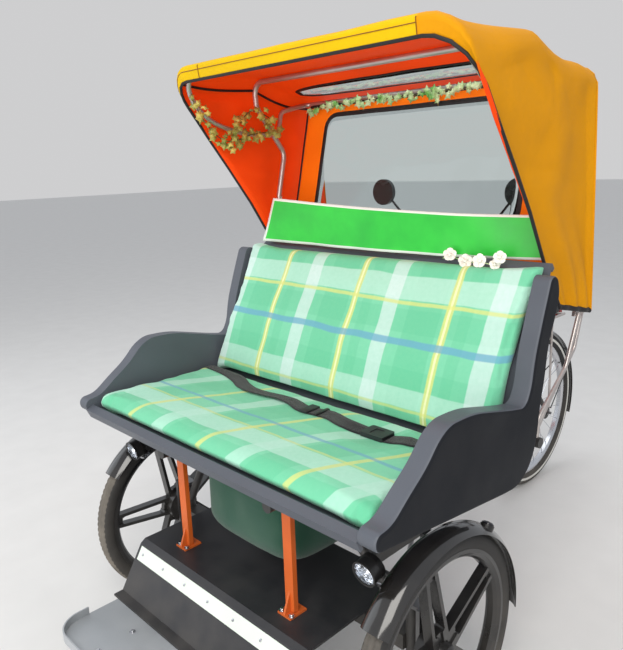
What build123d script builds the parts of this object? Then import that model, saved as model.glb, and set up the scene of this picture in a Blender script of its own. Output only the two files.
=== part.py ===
from build123d import *
import math
import os

os.makedirs("parts", exist_ok=True)

# Passenger cycle rickshaw: a two-seat bench under a hood between two steered
# front wheels, and the rear half of an electric bicycle behind it.
# Millimetres. Front faces -Y, +Z is up, +X is the vehicle's left side.
# All lengths along Y are measured from the front axle, and SHIFT_Y moves the
# whole vehicle so that the origin is at floor level below its middle.

# Overall layout
FRONT_WHEEL_R = 293.0
REAR_WHEEL_R = 340.0
WHEELBASE = 1470.0
WHEEL_X = 537.0
KINGPIN_X = 464.0
FOOTPLATE_FRONT_Y = -545.0
REAR_FENDER_GAP = 14.0
FENDER_T = 3.0
REAR_END_Y = WHEELBASE + REAR_WHEEL_R + REAR_FENDER_GAP + FENDER_T
SHIFT_Y = -(FOOTPLATE_FRONT_Y + REAR_END_Y) / 2
PLACE = Pos(0, SHIFT_Y, 0)
SIDES = (("left", 1), ("right", -1))

# Fits
RUNNING_GAP = 0.05
SOFT_GAP = 0.4
OPEN_PIVOT_GAP = 0.5

# Frame tubes
RAIL_R = 15.0
RAIL_X = 222.0
RAIL_Z = 645.0
RAIL_FRONT_Y = -235.0
RAIL_REAR_Y = 515.0
LEG_Y = -170.0
LEG_W = 30.0
LEG_T = 14.0
FOOT_BRACKET_L = 56.0
FOOT_BRACKET_T = 5.0
BEAM_W = 50.0
BEAM_H = 40.0
BEAM_Z = 285.0
FLOOR_RAIL_X = 170.0
FLOOR_RAIL_W = 30.0
FLOOR_RAIL_H = 36.0
STRUT_R = 13.0
CROSS_Y = 500.0
PAD_ROWS = (-170.0, 120.0)
STAY_X = 508.0

# Kingpin and knuckle
KINGPIN_R = 9.0
HOUSING_R = 18.0
HOUSING_LOW_Z = 202.0
HOUSING_HIGH_Z = 384.0
LUG_T = 10.0
LUG_GAP = 1.0
UPRIGHT_X = 26.0
UPRIGHT_T = 11.0
UPRIGHT_W = 52.0
STUB_R = 10.0
STUB_END_GAP = 4.0
TIE_ARM = 90.0
DRAG_ARM = 80.0
ARM_W = 26.0
STUD_R = 5.0
LINK_R = 8.0
LINK_STEP = 12.0

# Front wheels
TYRE_W = 52.0
TYRE_H = 50.0
RIM_T = 5.0
RIM_LIP = 9.0
HUB_R = 34.0
HUB_W = 70.0
DRUM_R = 52.0
DRUM_W = 26.0
CAST_SPOKES = 5
SPOKE_ROOT_W = 62.0
SPOKE_TIP_W = 44.0
SPOKE_T = 26.0
SPOKE_GROOVE = 9.0
FENDER_GAP = 15.0
FENDER_HALF_W = 38.0
FENDER_DROP = 20.0
FENDER_REAR_DEG = -4.0
FENDER_FRONT_DEG = 142.0

# Lamps
HEADLAMP_R = 30.0
HEADLAMP_L = 46.0
HEADLAMP_POS = (474.0, -166.0, 566.0)
HEADLAMP_DIP = 12.0
MARKER_R = 17.0
MARKER_L = 14.0
MARKER_DEG = 56.0

# Footwell
DECK_HALF = 352.0
DECK_Z = 335.0
DECK_T = 6.0
DECK_FRONT_Y = -237.0
DECK_REAR_Y = 120.0
RISER_FOOT_Y = -325.0
PLATE_Z = 200.0
PLATE_T = 4.0
PLATE_HALF = 330.0
PLATE_CORNER = 70.0
PLATE_LIP = 22.0
FLANGE_L = 30.0
FLANGE_SEAT = 1.0
DECK_PAD_ROWS = (-150.0, 60.0)
STRIP_H = 40.0
STRIP_T = 1.5

# Seat shell
SEAT_HALF = 592.0
WALL = 48.0
SIDE_ROUND = 9.0
PAN_T = 9.0
PAN_Z = 690.0
LIP_Y = -284.0
LIP_Z = 708.0
LIP_DROP = 22.0
BACK_T = 12.0

# Cushions and belt
SEAT_CUSHION_H = 62.0
CUSHION_T = 54.0
CUSHION_GAP = 5.0
CUSHION_TRIM = 4.0
CUSHION_FALL = 22.0
BELT_W = 46.0
BELT_T = 3.0
BUCKLE_L = 72.0
BUCKLE_W = 54.0
BUCKLE_T = 12.0
BELT_Y = 75.0
BUCKLE_X = 296.0
BELT_LIFT = 4.0

# Hood
HOOD_HALF = 520.0
HOOD_T = 3.0
HOOD_EDGE_R = 46.0
ROOF_SAG_R = 90.0
BOW_R = 9.0
SIDE_BOW_R = 8.0
STAY_TUBE_R = 6.0
STAY_STEP = 14.0
BOW_X = 506.0
BOW_CORNER = 70.0
FRONT_BOW_Y = 104.0
MAIN_BOW_Y = 410.0
REAR_BOW_Y = 655.0
WINDOW_T = 1.5
BINDING = 14.0
PANEL_T = 3.0
REAR_WINDOW_HALF = 390.0
REAR_WINDOW_R = 45.0
BANNER_T = 1.5
BANNER_HALF = 490.0
BANNER_H = 150.0

# Rear bicycle half
MAIN_TUBE_R = 28.0
SEAT_TUBE_R = 17.5
STAY_R = 9.0
CHAIN_STAY_L = 440.0
BB_Y = WHEELBASE - CHAIN_STAY_L
BB_Z = 300.0
BB_R = 24.0
BB_W = 74.0
SEAT_TUBE_DEG = 72.0
SEAT_TUBE_L = 480.0
TOP_TUBE_AT = 230.0
POST_BORE_L = 150.0
COLUMN_Y = 780.0
COLUMN_R = 14.0
COLUMN_LOW_Z = 200.0
MOTOR_SHARE = 0.6
HEAD_R = 22.0
HEAD_LOW_Z = 330.0
HEAD_HIGH_Z = 520.0
BAR_Z = 1120.0
BAR_Y = COLUMN_Y
BAR_R = 11.0
BAR_HALF = 330.0
GRIP_R = 16.0
GRIP_L = 130.0
SADDLE_Z = 960.0
SADDLE_L = 260.0
SADDLE_W = 170.0
CRANK_L = 170.0
CRANKSHAFT_R = 8.0
CHAIN_X = -48.0
CHAINRING_R = 84.0
SPROCKET_R = 38.0
CHAIN_H = 9.0
CHAIN_W = 7.0
PEDAL_X = 134.0
PEDAL_L = 90.0
PEDAL_W = 78.0
PEDAL_H = 20.0
REAR_TYRE_W = 50.0
REAR_HUB_HALF = 65.0
REAR_RIM_HALF = 14.0
REAR_AXLE_R = 6.0
AXLE_NUT_END = 12.0
AXLE_FREE = 12.0
REAR_SPOKES = 28
RACK_Z = 745.0


def save(shape, node):
    """Writes one piece, moved to the vehicle's origin."""
    export_step(PLACE * shape, "parts/" + node + ".step")


def tube(points, radius, bend=40.0):
    """A round tube along straight runs that meet in bends."""
    path = FilletPolyline(*points, radius=bend) if len(points) > 2 else Line(*points)
    section = Plane(origin=path @ 0, z_dir=path % 0) * Circle(radius)
    return sweep(section, path=path)


def rod(start, end, radius):
    """A straight round bar from one point to another."""
    a = Vector(*start)
    b = Vector(*end)
    direction = b - a
    return extrude(Plane(origin=a, z_dir=direction) * Circle(radius), amount=direction.length)


def block(x0, x1, y0, y1, z0, z1):
    """A box between two corners."""
    size = Box(x1 - x0, y1 - y0, z1 - z0)
    return Pos((x0 + x1) / 2, (y0 + y1) / 2, (z0 + z1) / 2) * size


def side_profile(points, x0, x1, radius=0.0):
    """A prism along X whose outline is given as (y, z) points."""
    face = make_face(Polyline(*points, close=True))
    if radius:
        face = fillet(face.vertices(), radius)
    return extrude(Plane.YZ.offset(x0) * face, amount=x1 - x0)


def soft_profile(points, rounds, x0, x1):
    """A side profile with some corners rounded, each given as a (y, z) point and its radius."""
    face = make_face(Polyline(*points, close=True))
    for (y, z), radius in rounds:
        near = face.vertices().sort_by_distance((y, z))[0]
        face = fillet(near, radius)
    return extrude(Plane.YZ.offset(x0) * face, amount=x1 - x0)


def flowing_face(points, share, largest):
    """A face whose corners are each rounded as far as a share of their shorter side allows."""
    face = make_face(Polyline(*points, close=True))
    count = len(points)
    for i in range(count):
        here = Vector(*points[i])
        before = Vector(*points[i - 1]) - here
        after = Vector(*points[(i + 1) % count]) - here
        turn = math.radians(180 - before.get_angle(after))
        radius = min(largest, share * min(before.length, after.length) / 2 / math.tan(turn / 2))
        near = face.vertices().sort_by_distance(points[i])[0]
        face = fillet(near, radius)
    return face


def side_strip(points, width, x0, x1):
    """A bent sheet along X whose middle line is given as (y, z) points."""
    face = trace(Polyline(*points), line_width=width)
    return extrude(Plane.YZ.offset(x0) * face, amount=x1 - x0)


def turned(points, degrees=360.0):
    """A body turned about the X axis from an outline of (x, radius) points."""
    face = make_face(Polyline(*points, close=True))
    return revolve(face, axis=Axis.X, revolution_arc=degrees)


def both(shape):
    """A shape and its mirror image on the other side of the middle plane."""
    return shape + mirror(shape, about=Plane.YZ)


def hole_z(x, y, radius, z0, z1):
    """A round cutter that stands on Z."""
    return Pos(x, y, (z0 + z1) / 2) * Cylinder(radius, z1 - z0)


# Frame of the front cabin: axle beam, kingpin housings, floor rails, legs and seat rails


def cabin_frame():
    """The welded tube frame that carries the seat, the floor and both front wheels."""
    beam_end = KINGPIN_X - HOUSING_R + 6
    frame = block(-beam_end, beam_end, -BEAM_W / 2, BEAM_W / 2, BEAM_Z - BEAM_H / 2, BEAM_Z + BEAM_H / 2)
    for name, side in SIDES:
        x = side * KINGPIN_X
        housing_mid = (HOUSING_LOW_Z + HOUSING_HIGH_Z) / 2
        frame += Pos(x, 0, housing_mid) * Cylinder(HOUSING_R, HOUSING_HIGH_Z - HOUSING_LOW_Z)
        frame += rod((side * RAIL_X, -60, RAIL_Z - 10), (x - side * 16, 0, HOUSING_HIGH_Z - 42), STRUT_R)
        rail_z0 = BEAM_Z - FLOOR_RAIL_H / 2
        rail_x = side * FLOOR_RAIL_X
        frame += block(
            rail_x - FLOOR_RAIL_W / 2, rail_x + FLOOR_RAIL_W / 2,
            DECK_FRONT_Y + 30, CROSS_Y, rail_z0, rail_z0 + FLOOR_RAIL_H,
        )
        step_x0 = rail_x - FLOOR_RAIL_W / 2
        frame += block(
            step_x0, step_x0 + FLOOR_RAIL_W,
            FOOTPLATE_FRONT_Y + 60, RISER_FOOT_Y + 40, PLATE_Z - PLATE_T - 30, PLATE_Z - PLATE_T,
        )
        frame += side_profile(
            [
                (RISER_FOOT_Y + 10, PLATE_Z - PLATE_T - 30),
                (RISER_FOOT_Y + 52, PLATE_Z - PLATE_T - 30),
                (DECK_FRONT_Y + 60, rail_z0),
                (DECK_FRONT_Y + 60, rail_z0 + FLOOR_RAIL_H - 8),
                (DECK_FRONT_Y + 28, rail_z0 + FLOOR_RAIL_H - 8),
                (RISER_FOOT_Y + 36, PLATE_Z - PLATE_T - 2),
                (RISER_FOOT_Y + 10, PLATE_Z - PLATE_T - 2),
            ],
            step_x0, step_x0 + FLOOR_RAIL_W,
        )
        frame += rod((side * RAIL_X, RAIL_FRONT_Y, RAIL_Z), (side * RAIL_X, RAIL_REAR_Y, RAIL_Z), RAIL_R)
        for y in PAD_ROWS:
            frame += block(
                side * RAIL_X - RAIL_R, side * RAIL_X + RAIL_R, y - 30, y + 30, RAIL_Z, PAN_Z - PAN_T / 2,
            )
        for y in DECK_PAD_ROWS:
            frame += block(
                step_x0, step_x0 + FLOOR_RAIL_W, y - 25, y + 25, rail_z0 + FLOOR_RAIL_H - 1, DECK_Z - DECK_T,
            )
        frame += block(
            rail_x - FLOOR_RAIL_W / 2, rail_x + FLOOR_RAIL_W / 2,
            CROSS_Y - 30, CROSS_Y, rail_z0, RAIL_Z - RAIL_R + 4,
        )
    frame += rod((-STAY_X - 12, CROSS_Y, RAIL_Z), (STAY_X + 12, CROSS_Y, RAIL_Z), RAIL_R)
    frame += rod((-RAIL_X, -60, RAIL_Z), (RAIL_X, -60, RAIL_Z), RAIL_R - 3)
    frame += block(-FLOOR_RAIL_X, FLOOR_RAIL_X, CROSS_Y - 30, CROSS_Y, BEAM_Z - 18, BEAM_Z + 18)
    for name, side in SIDES:
        frame -= hole_z(side * KINGPIN_X, 0, KINGPIN_R + RUNNING_GAP, HOUSING_LOW_Z - 1, HOUSING_HIGH_Z + 1)
    return frame


def frame_legs():
    """The two flat legs between the floor deck and the seat rails, each on a foot bracket."""
    legs = None
    for name, side in SIDES:
        x = side * RAIL_X
        leg = block(x - LEG_W / 2, x + LEG_W / 2, LEG_Y - LEG_T / 2, LEG_Y + LEG_T / 2, DECK_Z, RAIL_Z - RAIL_R)
        foot = block(
            x - LEG_W / 2 - 8, x + LEG_W / 2 + 8,
            LEG_Y - FOOT_BRACKET_L / 2, LEG_Y + FOOT_BRACKET_L / 2, DECK_Z, DECK_Z + FOOT_BRACKET_T,
        )
        web = side_profile(
            [
                (LEG_Y - LEG_T / 2, DECK_Z + FOOT_BRACKET_T),
                (LEG_Y - FOOT_BRACKET_L / 2, DECK_Z + FOOT_BRACKET_T),
                (LEG_Y - LEG_T / 2, DECK_Z + 60),
            ],
            x - 3, x + 3,
        )
        leg = leg + foot + web
        legs = leg if legs is None else legs + leg
    return legs


def floor_deck():
    """The bent deck: a flat top under the seat, a sloping toe board and a short foot flange."""
    points = [
        (DECK_REAR_Y, DECK_Z - DECK_T / 2),
        (DECK_FRONT_Y, DECK_Z - DECK_T / 2),
        (DECK_FRONT_Y - 14, DECK_Z - 12),
        (RISER_FOOT_Y, PLATE_Z - FLANGE_SEAT + DECK_T / 2),
        (RISER_FOOT_Y - FLANGE_L, PLATE_Z - FLANGE_SEAT + DECK_T / 2),
    ]
    deck = side_strip(points, DECK_T, -DECK_HALF, DECK_HALF)
    trims = block(-DECK_HALF - 1, DECK_HALF + 1, DECK_REAR_Y, DECK_REAR_Y + 20, DECK_Z - 20, DECK_Z + 20)
    return deck - trims


def toe_strip():
    """The thin blank strip fixed along the top of the toe board."""
    rise = DECK_Z - 12 - PLATE_Z - DECK_T / 2
    run = DECK_FRONT_Y - 14 - RISER_FOOT_Y
    slope = math.degrees(math.atan2(rise, run))
    mid = Vector(0, DECK_FRONT_Y - 14, DECK_Z - 12)
    down = Vector(0, -math.cos(math.radians(slope)), -math.sin(math.radians(slope)))
    out = Vector(0, -math.sin(math.radians(slope)), math.cos(math.radians(slope)))
    centre = mid + down * (STRIP_H / 2 + 4) + out * (DECK_T / 2 + STRIP_T / 2)
    plate = Box(2 * DECK_HALF - 24, STRIP_H, STRIP_T)
    return Location((centre.X, centre.Y, centre.Z), (slope, 0, 0)) * plate


def footplate():
    """The light footplate: a pressed plate with a raised front lip and a sunk seat for the toe board's flange."""
    y0 = FOOTPLATE_FRONT_Y
    y1 = RISER_FOOT_Y + 34
    outline = Rectangle(2 * PLATE_HALF, y1 - y0)
    face = Pos(0, (y0 + y1) / 2) * outline
    face = fillet(face.vertices().sort_by(Axis.Y)[:2], PLATE_CORNER)
    plate = extrude(Plane.XY.offset(PLATE_Z - PLATE_T) * face, amount=PLATE_T)
    lip = extrude(Plane.XY.offset(PLATE_Z) * face, amount=PLATE_LIP)
    inner = offset(face, amount=-PLATE_T)
    lip -= extrude(Plane.XY.offset(PLATE_Z) * inner, amount=PLATE_LIP)
    lip -= block(-PLATE_HALF, PLATE_HALF, y0 + PLATE_CORNER + 30, y1, PLATE_Z, PLATE_Z + PLATE_LIP)
    seat = block(
        -PLATE_HALF - 1, PLATE_HALF + 1, RISER_FOOT_Y - FLANGE_L - 1, y1 + 1, PLATE_Z - FLANGE_SEAT, PLATE_Z + 1,
    )
    return plate + lip - seat


def storage_bag():
    """The cloth bag that hangs between the legs under the seat, open at the top."""
    half = RAIL_X - LEG_W / 2 - 12
    outer = [
        (LEG_Y + 20, 620), (LEG_Y + 24, 440), (LEG_Y + 70, 380),
        (260, 372), (320, 420), (330, 620),
    ]
    inner = [
        (LEG_Y + 24, 621), (LEG_Y + 28, 442), (LEG_Y + 72, 384),
        (258, 376), (316, 422), (326, 621),
    ]
    bag = side_profile(outer, -half, half)
    return bag - side_profile(inner, -half + 4, half - 4)


# Seat


SIDE_OUTLINE = [
    (LIP_Y, 700), (-37, 668), (181, 640), (250, 634), (306, 672), (332, 726),
    (344, 817), (360, 883), (372, 967), (402, 1030), (418, 1085), (404, 1128),
    (372, 1130), (338, 1040), (306, 950), (292, 872), (268, 832), (200, 846),
    (44, 884), (-44, 886), (-84, 866), (-128, 820), (-182, 783), (-236, 742), (LIP_Y, 738),
]
BACK_LINE = [(178, 690), (224, 760), (262, 900), (318, 1000), (392, 1132)]


def seat_side(side):
    """One moulded side of the seat: armrest and back bolster in one thick rim, hollow outside."""
    x_out = side * SEAT_HALF
    x_in = side * (SEAT_HALF - WALL)
    low = min(x_out, x_in)
    high = max(x_out, x_in)
    face = flowing_face(SIDE_OUTLINE, 0.94, 400)
    body = extrude(Plane.YZ.offset(low) * face, amount=high - low)
    rim = [e for e in body.edges().filter_by(Plane.YZ) if abs(e.center().X - x_out) < 0.5]
    return fillet(rim, SIDE_ROUND)


def seat_pan():
    """The moulded pan between the sides, with its rounded front lip and the belt slots."""
    half = SEAT_HALF - WALL
    points = [
        (LIP_Y + 14, LIP_Z - LIP_DROP), (LIP_Y + 4, LIP_Z), (LIP_Y + 22, LIP_Z + 6),
        (LIP_Y + 60, PAN_Z), (BACK_LINE[0][0], PAN_Z),
    ]
    return side_strip(points, PAN_T, -half, half)


def seat_back():
    """The moulded back between the sides, rolled back along its top edge."""
    half = SEAT_HALF - WALL
    back = [(y + CUSHION_T + CUSHION_GAP + BACK_T / 2, z) for y, z in BACK_LINE]
    top = back[-1]
    points = [(back[0][0] - 40, PAN_Z), (back[0][0] - 6, PAN_Z)] + back[1:]
    points += [(top[0] + 8, top[1] + 6), (top[0] + 16, top[1] - 4)]
    return side_strip(points, BACK_T, -half, half) - seat_pan()


def seat_cushion():
    """The seat cushion as a plain block with the real top line."""
    half = SEAT_HALF - WALL - CUSHION_TRIM
    base = PAN_Z + PAN_T / 2 + 3
    outline = [
        (LIP_Y + 66, base + 2), (LIP_Y + 30, LIP_Z + 14), (LIP_Y + 32, LIP_Z + 30),
        (LIP_Y + 60, base + SEAT_CUSHION_H - 10), (150, base + SEAT_CUSHION_H - CUSHION_FALL), (180, base),
    ]
    return side_profile(outline, -half, half, 8)


def back_cushion():
    """The back cushion as a plain block that follows the back's line."""
    half = SEAT_HALF - WALL - CUSHION_TRIM
    foot_y = BACK_LINE[1][0] - 18
    foot_z = PAN_Z + PAN_T / 2 + SEAT_CUSHION_H - 12
    front = [(foot_y, foot_z)] + BACK_LINE[2:]
    rear = [(foot_y + CUSHION_T - 6, foot_z)] + [(y + CUSHION_T, z - 4) for y, z in BACK_LINE[2:]]
    return side_profile(front + rear[::-1], -half, half, 14)


def belt_path(lift):
    """The belt's middle line: across the seat, in front of the back cushion."""
    half = SEAT_HALF - WALL - 1
    z = PAN_Z + PAN_T / 2 + 3 + SEAT_CUSHION_H - CUSHION_FALL + BUCKLE_T / 2 + lift
    return half, BELT_Y, z


def lap_belt():
    """The flat lap belt across the seat, broken at the buckle."""
    half, y, z = belt_path(BELT_LIFT)
    runs = []
    for name, side in SIDES:
        inner = BUCKLE_X + side * (BUCKLE_L / 2 - 6)
        outer = side * half
        runs.append(Pos((inner + outer) / 2, y, z) * Box(abs(outer - inner), BELT_W, BELT_T))
    return runs


def belt_buckle():
    """The buckle with its tongue slot."""
    half, y, z = belt_path(BELT_LIFT)
    body = Pos(BUCKLE_X, y, z) * Box(BUCKLE_L, BUCKLE_W, BUCKLE_T)
    body = fillet(body.edges().filter_by(Axis.Z), 6)
    slot = Pos(BUCKLE_X, y, z) * Box(BUCKLE_L + 2, BELT_W + 1, BELT_T + 1)
    press = Pos(BUCKLE_X, y, z + BUCKLE_T / 2) * Box(26, 30, 4)
    return body - slot - press


# Hood


HOOD_OUTLINE = [
    (574, 1013), (477, 1137), (387, 1277), (307, 1384), (238, 1472), (170, 1562),
    (98, 1660), (92, 1700), (104, 1709), (MAIN_BOW_Y, 1697), (560, 1662),
    (724, 1636), (730, 1612), (776, 969),
]
HOOD_INNER = [
    (560, 900), (440, 1040), (50, 1560), (50, 1640), (97, 1640), (97, 1696), (106, 1705),
    (MAIN_BOW_Y, 1693), (559, 1658), (722, 1632), (800, 1618), (800, 900),
]


def lens(y_mid, half, depth):
    """The outline of the clear roof window seen from above: two arcs that meet in two tips."""
    top = ThreePointArc((-half, y_mid + 12), (0, y_mid - depth / 2), (half, y_mid + 12))
    low = ThreePointArc((half, y_mid + 12), (0, y_mid + depth / 2), (-half, y_mid + 12))
    return make_face(top + low)


def roof_edges(body, half):
    """The edges where the roof turns down into the side panels."""
    chosen = []
    for edge in body.edges():
        centre = edge.center()
        way = edge @ 1 - edge @ 0
        if abs(abs(centre.X) - half) < 0.1 and centre.Z > 1595 and abs(way.Y) > abs(way.Z):
            chosen.append(edge)
    return chosen


def hood_canopy():
    """The hood's one sheet: roof and both side panels, open in front, below and behind."""
    outer = soft_profile(HOOD_OUTLINE, [((560, 1662), ROOF_SAG_R)], -HOOD_HALF, HOOD_HALF)
    outer = fillet(roof_edges(outer, HOOD_HALF), HOOD_EDGE_R)
    inner = soft_profile(HOOD_INNER, [((559, 1658), ROOF_SAG_R)], -HOOD_HALF + HOOD_T, HOOD_HALF - HOOD_T)
    inner = fillet(roof_edges(inner, HOOD_HALF - HOOD_T), HOOD_EDGE_R - HOOD_T)
    hood = outer - inner
    cut = extrude(Plane.XY.offset(1600) * lens(585, 445, 118), amount=120)
    return hood - cut


def hood_bow(points_right, y_top, z_top, x=BOW_X):
    """One tube bow: a leg on each side given as (y, z) points, joined across the roof."""
    right = [(-x, y, z) for y, z in points_right] + [(-x, y_top, z_top)]
    left = [(x, y_top, z_top)] + [(x, y, z) for y, z in points_right[::-1]]
    return right + left


BOW_FOOT = (722, 996)
MAIN_LEG = [BOW_FOOT, (500, 1295), (536, 1450), (418, 1600)]
FRONT_LEG = [(488, 1512), (330, 1520), (185, 1568), (108, 1640)]
REAR_LEG = [(508, 1512), (524, 1590), (615, 1611)]
MAIN_TOP = (MAIN_BOW_Y, 1680)
FRONT_TOP = (FRONT_BOW_Y + 6, 1692)
REAR_TOP = (REAR_BOW_Y, 1618)


def bow_front():
    """The front bow: it holds the hood's front edge and hangs on the main bow's legs."""
    return tube(hood_bow(FRONT_LEG, *FRONT_TOP), SIDE_BOW_R, 42) - bow_main()


def bow_main():
    """The main bow: its legs stand on the stays and bend back below the roof."""
    return tube(hood_bow(MAIN_LEG, *MAIN_TOP), BOW_R, 42)


def bow_rear():
    """The rear bow: it holds the roof's rear edge and hangs on the main bow's legs."""
    return tube(hood_bow(REAR_LEG, *REAR_TOP, BOW_X - 4), SIDE_BOW_R, 26) - bow_main()


def hood_stays():
    """Two bent tubes on each side, from the seat frame up to the plate that carries the bows."""
    stays = None
    foot = RAIL_R * math.sqrt(0.5)
    run = Vector(MAIN_LEG[1][0] - BOW_FOOT[0], MAIN_LEG[1][1] - BOW_FOOT[1]).normalized()
    foot_y = BOW_R * run.Y
    foot_z = -BOW_R * run.X
    for name, side in SIDES:
        x = side * STAY_X
        front = tube(
            [(x, CROSS_Y, RAIL_Z + RAIL_R), (x, CROSS_Y, 712), (x, 655, 822), (x, 726, 978)],
            STAY_TUBE_R, 45,
        )
        x = side * (STAY_X - STAY_STEP)
        rear = tube(
            [(x, CROSS_Y + foot, RAIL_Z + foot), (x, 585, RAIL_Z + 85), (x, 735, 858), (x, 778, 975)],
            STAY_TUBE_R, 45,
        )
        x = side * (STAY_X - STAY_STEP / 2)
        plate = side_profile(
            [
                (700, 962), (704, 982.5), (BOW_FOOT[0] - foot_y, BOW_FOOT[1] - foot_z),
                (BOW_FOOT[0] + foot_y, BOW_FOOT[1] + foot_z), (756, 1000), (786, 985), (782, 962),
            ],
            x - 4, x + 4,
        )
        one = front + rear + plate
        stays = one if stays is None else stays + one
    return stays


REAR_PANEL_TOP = (650, 1607)
REAR_PANEL_LOW = (536, 1118)


def panel_plane(share):
    """The point on the rear panel's line at a share of its height, as (y, z)."""
    y = REAR_PANEL_TOP[0] + share * (REAR_PANEL_LOW[0] - REAR_PANEL_TOP[0])
    z = REAR_PANEL_TOP[1] + share * (REAR_PANEL_LOW[1] - REAR_PANEL_TOP[1])
    return y, z


def panel_location():
    """The rear panel's own place: middle of its line, leaning back with it."""
    y, z = panel_plane(0.5)
    lean = math.degrees(math.atan2(REAR_PANEL_TOP[0] - REAR_PANEL_LOW[0], REAR_PANEL_TOP[1] - REAR_PANEL_LOW[1]))
    return Location((0, y, z), (90 - lean, 0, 0))


PANEL_LENGTH = math.hypot(
    REAR_PANEL_TOP[0] - REAR_PANEL_LOW[0], REAR_PANEL_TOP[1] - REAR_PANEL_LOW[1]
)
PANEL_HALF = BOW_X - BOW_R - 10
WINDOW_H = 360.0
WINDOW_DROP = 34.0


def rear_panel():
    """The hood's rear panel with its large window opening."""
    sheet = Box(2 * PANEL_HALF, PANEL_LENGTH, PANEL_T)
    opening = RectangleRounded(2 * REAR_WINDOW_HALF, WINDOW_H, REAR_WINDOW_R)
    middle = PANEL_LENGTH / 2 - WINDOW_DROP - WINDOW_H / 2
    cut = extrude(Pos(0, middle) * opening, amount=PANEL_T + 2, both=True)
    return panel_location() * (sheet - cut)


def hood_windows():
    """The clear sheets: the large rear window and the lens-shaped roof window."""
    middle = PANEL_LENGTH / 2 - WINDOW_DROP - WINDOW_H / 2
    pane = extrude(
        Pos(0, middle) * RectangleRounded(2 * REAR_WINDOW_HALF - 0.4, WINDOW_H - 0.4, REAR_WINDOW_R - 0.2),
        amount=WINDOW_T / 2, both=True,
    )
    rear = panel_location() * pane
    outer = soft_profile(HOOD_OUTLINE, [((560, 1662), ROOF_SAG_R)], -HOOD_HALF, HOOD_HALF)
    inner = Pos(0, 0, -WINDOW_T) * outer
    skin = outer - inner
    roof = skin & extrude(Plane.XY.offset(1610) * lens(585, 445, 118), amount=100)
    return [rear] + list(roof.solids())


def banner():
    """The blank cloth banner tied between the main bow's legs above the backrest."""
    top = (468, 1288)
    low = (432, 1288 - BANNER_H)
    return side_strip([low, top], BANNER_T, -BANNER_HALF, BANNER_HALF)


# Front wheels, knuckles and steering links


def front_wheel(side):
    """A cast wheel: rim well, brake drum hub and five spokes, each a channel of two ribs."""
    outer = FRONT_WHEEL_R - TYRE_H
    half = TYRE_W / 2 - 4
    rim = turned(
        [
            (-half, outer), (-half, outer + RIM_LIP), (-half + 3, outer + RIM_LIP),
            (-half + 5, outer), (half - 5, outer), (half - 3, outer + RIM_LIP),
            (half, outer + RIM_LIP), (half, outer), (half - 6, outer - RIM_T - 4),
            (8, outer - RIM_T - 10), (-8, outer - RIM_T - 10), (-half + 6, outer - RIM_T - 4),
        ]
    )
    hub = turned(
        [
            (-HUB_W / 2, STUB_R + RUNNING_GAP), (-HUB_W / 2, DRUM_R), (-HUB_W / 2 + DRUM_W, DRUM_R),
            (-HUB_W / 2 + DRUM_W + 8, HUB_R), (HUB_W / 2 - 6, HUB_R - 6),
            (HUB_W / 2, HUB_R - 12), (HUB_W / 2, STUB_R + RUNNING_GAP),
        ]
    )
    length = outer - RIM_T - 6 - HUB_R + 6
    root = SPOKE_ROOT_W / 2
    tip = SPOKE_TIP_W / 2
    z0 = HUB_R - 6
    z1 = z0 + length
    outline = make_face(Polyline((-root, z0), (root, z0), (tip, z1), (-tip, z1), close=True))
    spoke = extrude(Plane.YZ.offset(-SPOKE_T / 2) * outline, amount=SPOKE_T)
    inside = make_face(
        Polyline((-root + 12, z0 + 34), (root - 12, z0 + 34), (tip - 10, z1 - 16), (-tip + 10, z1 - 16), close=True)
    )
    inside = fillet(inside.vertices(), 7)
    window = extrude(Plane.YZ.offset(-SPOKE_T) * inside, amount=2 * SPOKE_T)
    spoke -= window
    groove_z = (z0 + z1) / 2
    for face_side in (-1, 1):
        ledge = Pos(face_side * SPOKE_T / 2, 0, groove_z) * Box(SPOKE_GROOVE, tip * 0.9, length)
        spoke -= ledge
    wheel = rim + hub
    for index in range(CAST_SPOKES):
        wheel += Rot(index * 360 / CAST_SPOKES + 12, 0, 0) * spoke
    wheel -= Rot(0, 90, 0) * Cylinder(STUB_R + RUNNING_GAP, HUB_W + 20)
    if side < 0:
        wheel = mirror(wheel, about=Plane.YZ)
    return Pos(side * WHEEL_X, 0, FRONT_WHEEL_R) * wheel


def tyre_outline(radius, width, height, bead):
    """The (x, radius) outline of a tyre with a round crown."""
    half = width / 2
    seat = radius - height
    return [
        (-half + 5, seat + RIM_LIP), (-half, seat + height * 0.5), (-half + 4, seat + height * 0.76),
        (-half + 13, seat + height * 0.95), (0, radius), (half - 13, seat + height * 0.95),
        (half - 4, seat + height * 0.76), (half, seat + height * 0.5), (half - 5, seat + RIM_LIP),
        (bead, seat + RIM_LIP), (bead, seat), (-bead, seat), (-bead, seat + RIM_LIP),
    ]


def front_tyre(side):
    """A front tyre on its rim."""
    tyre = turned(tyre_outline(FRONT_WHEEL_R, TYRE_W, TYRE_H, TYRE_W / 2 - 10))
    return Pos(side * WHEEL_X, 0, FRONT_WHEEL_R) * tyre


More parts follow.
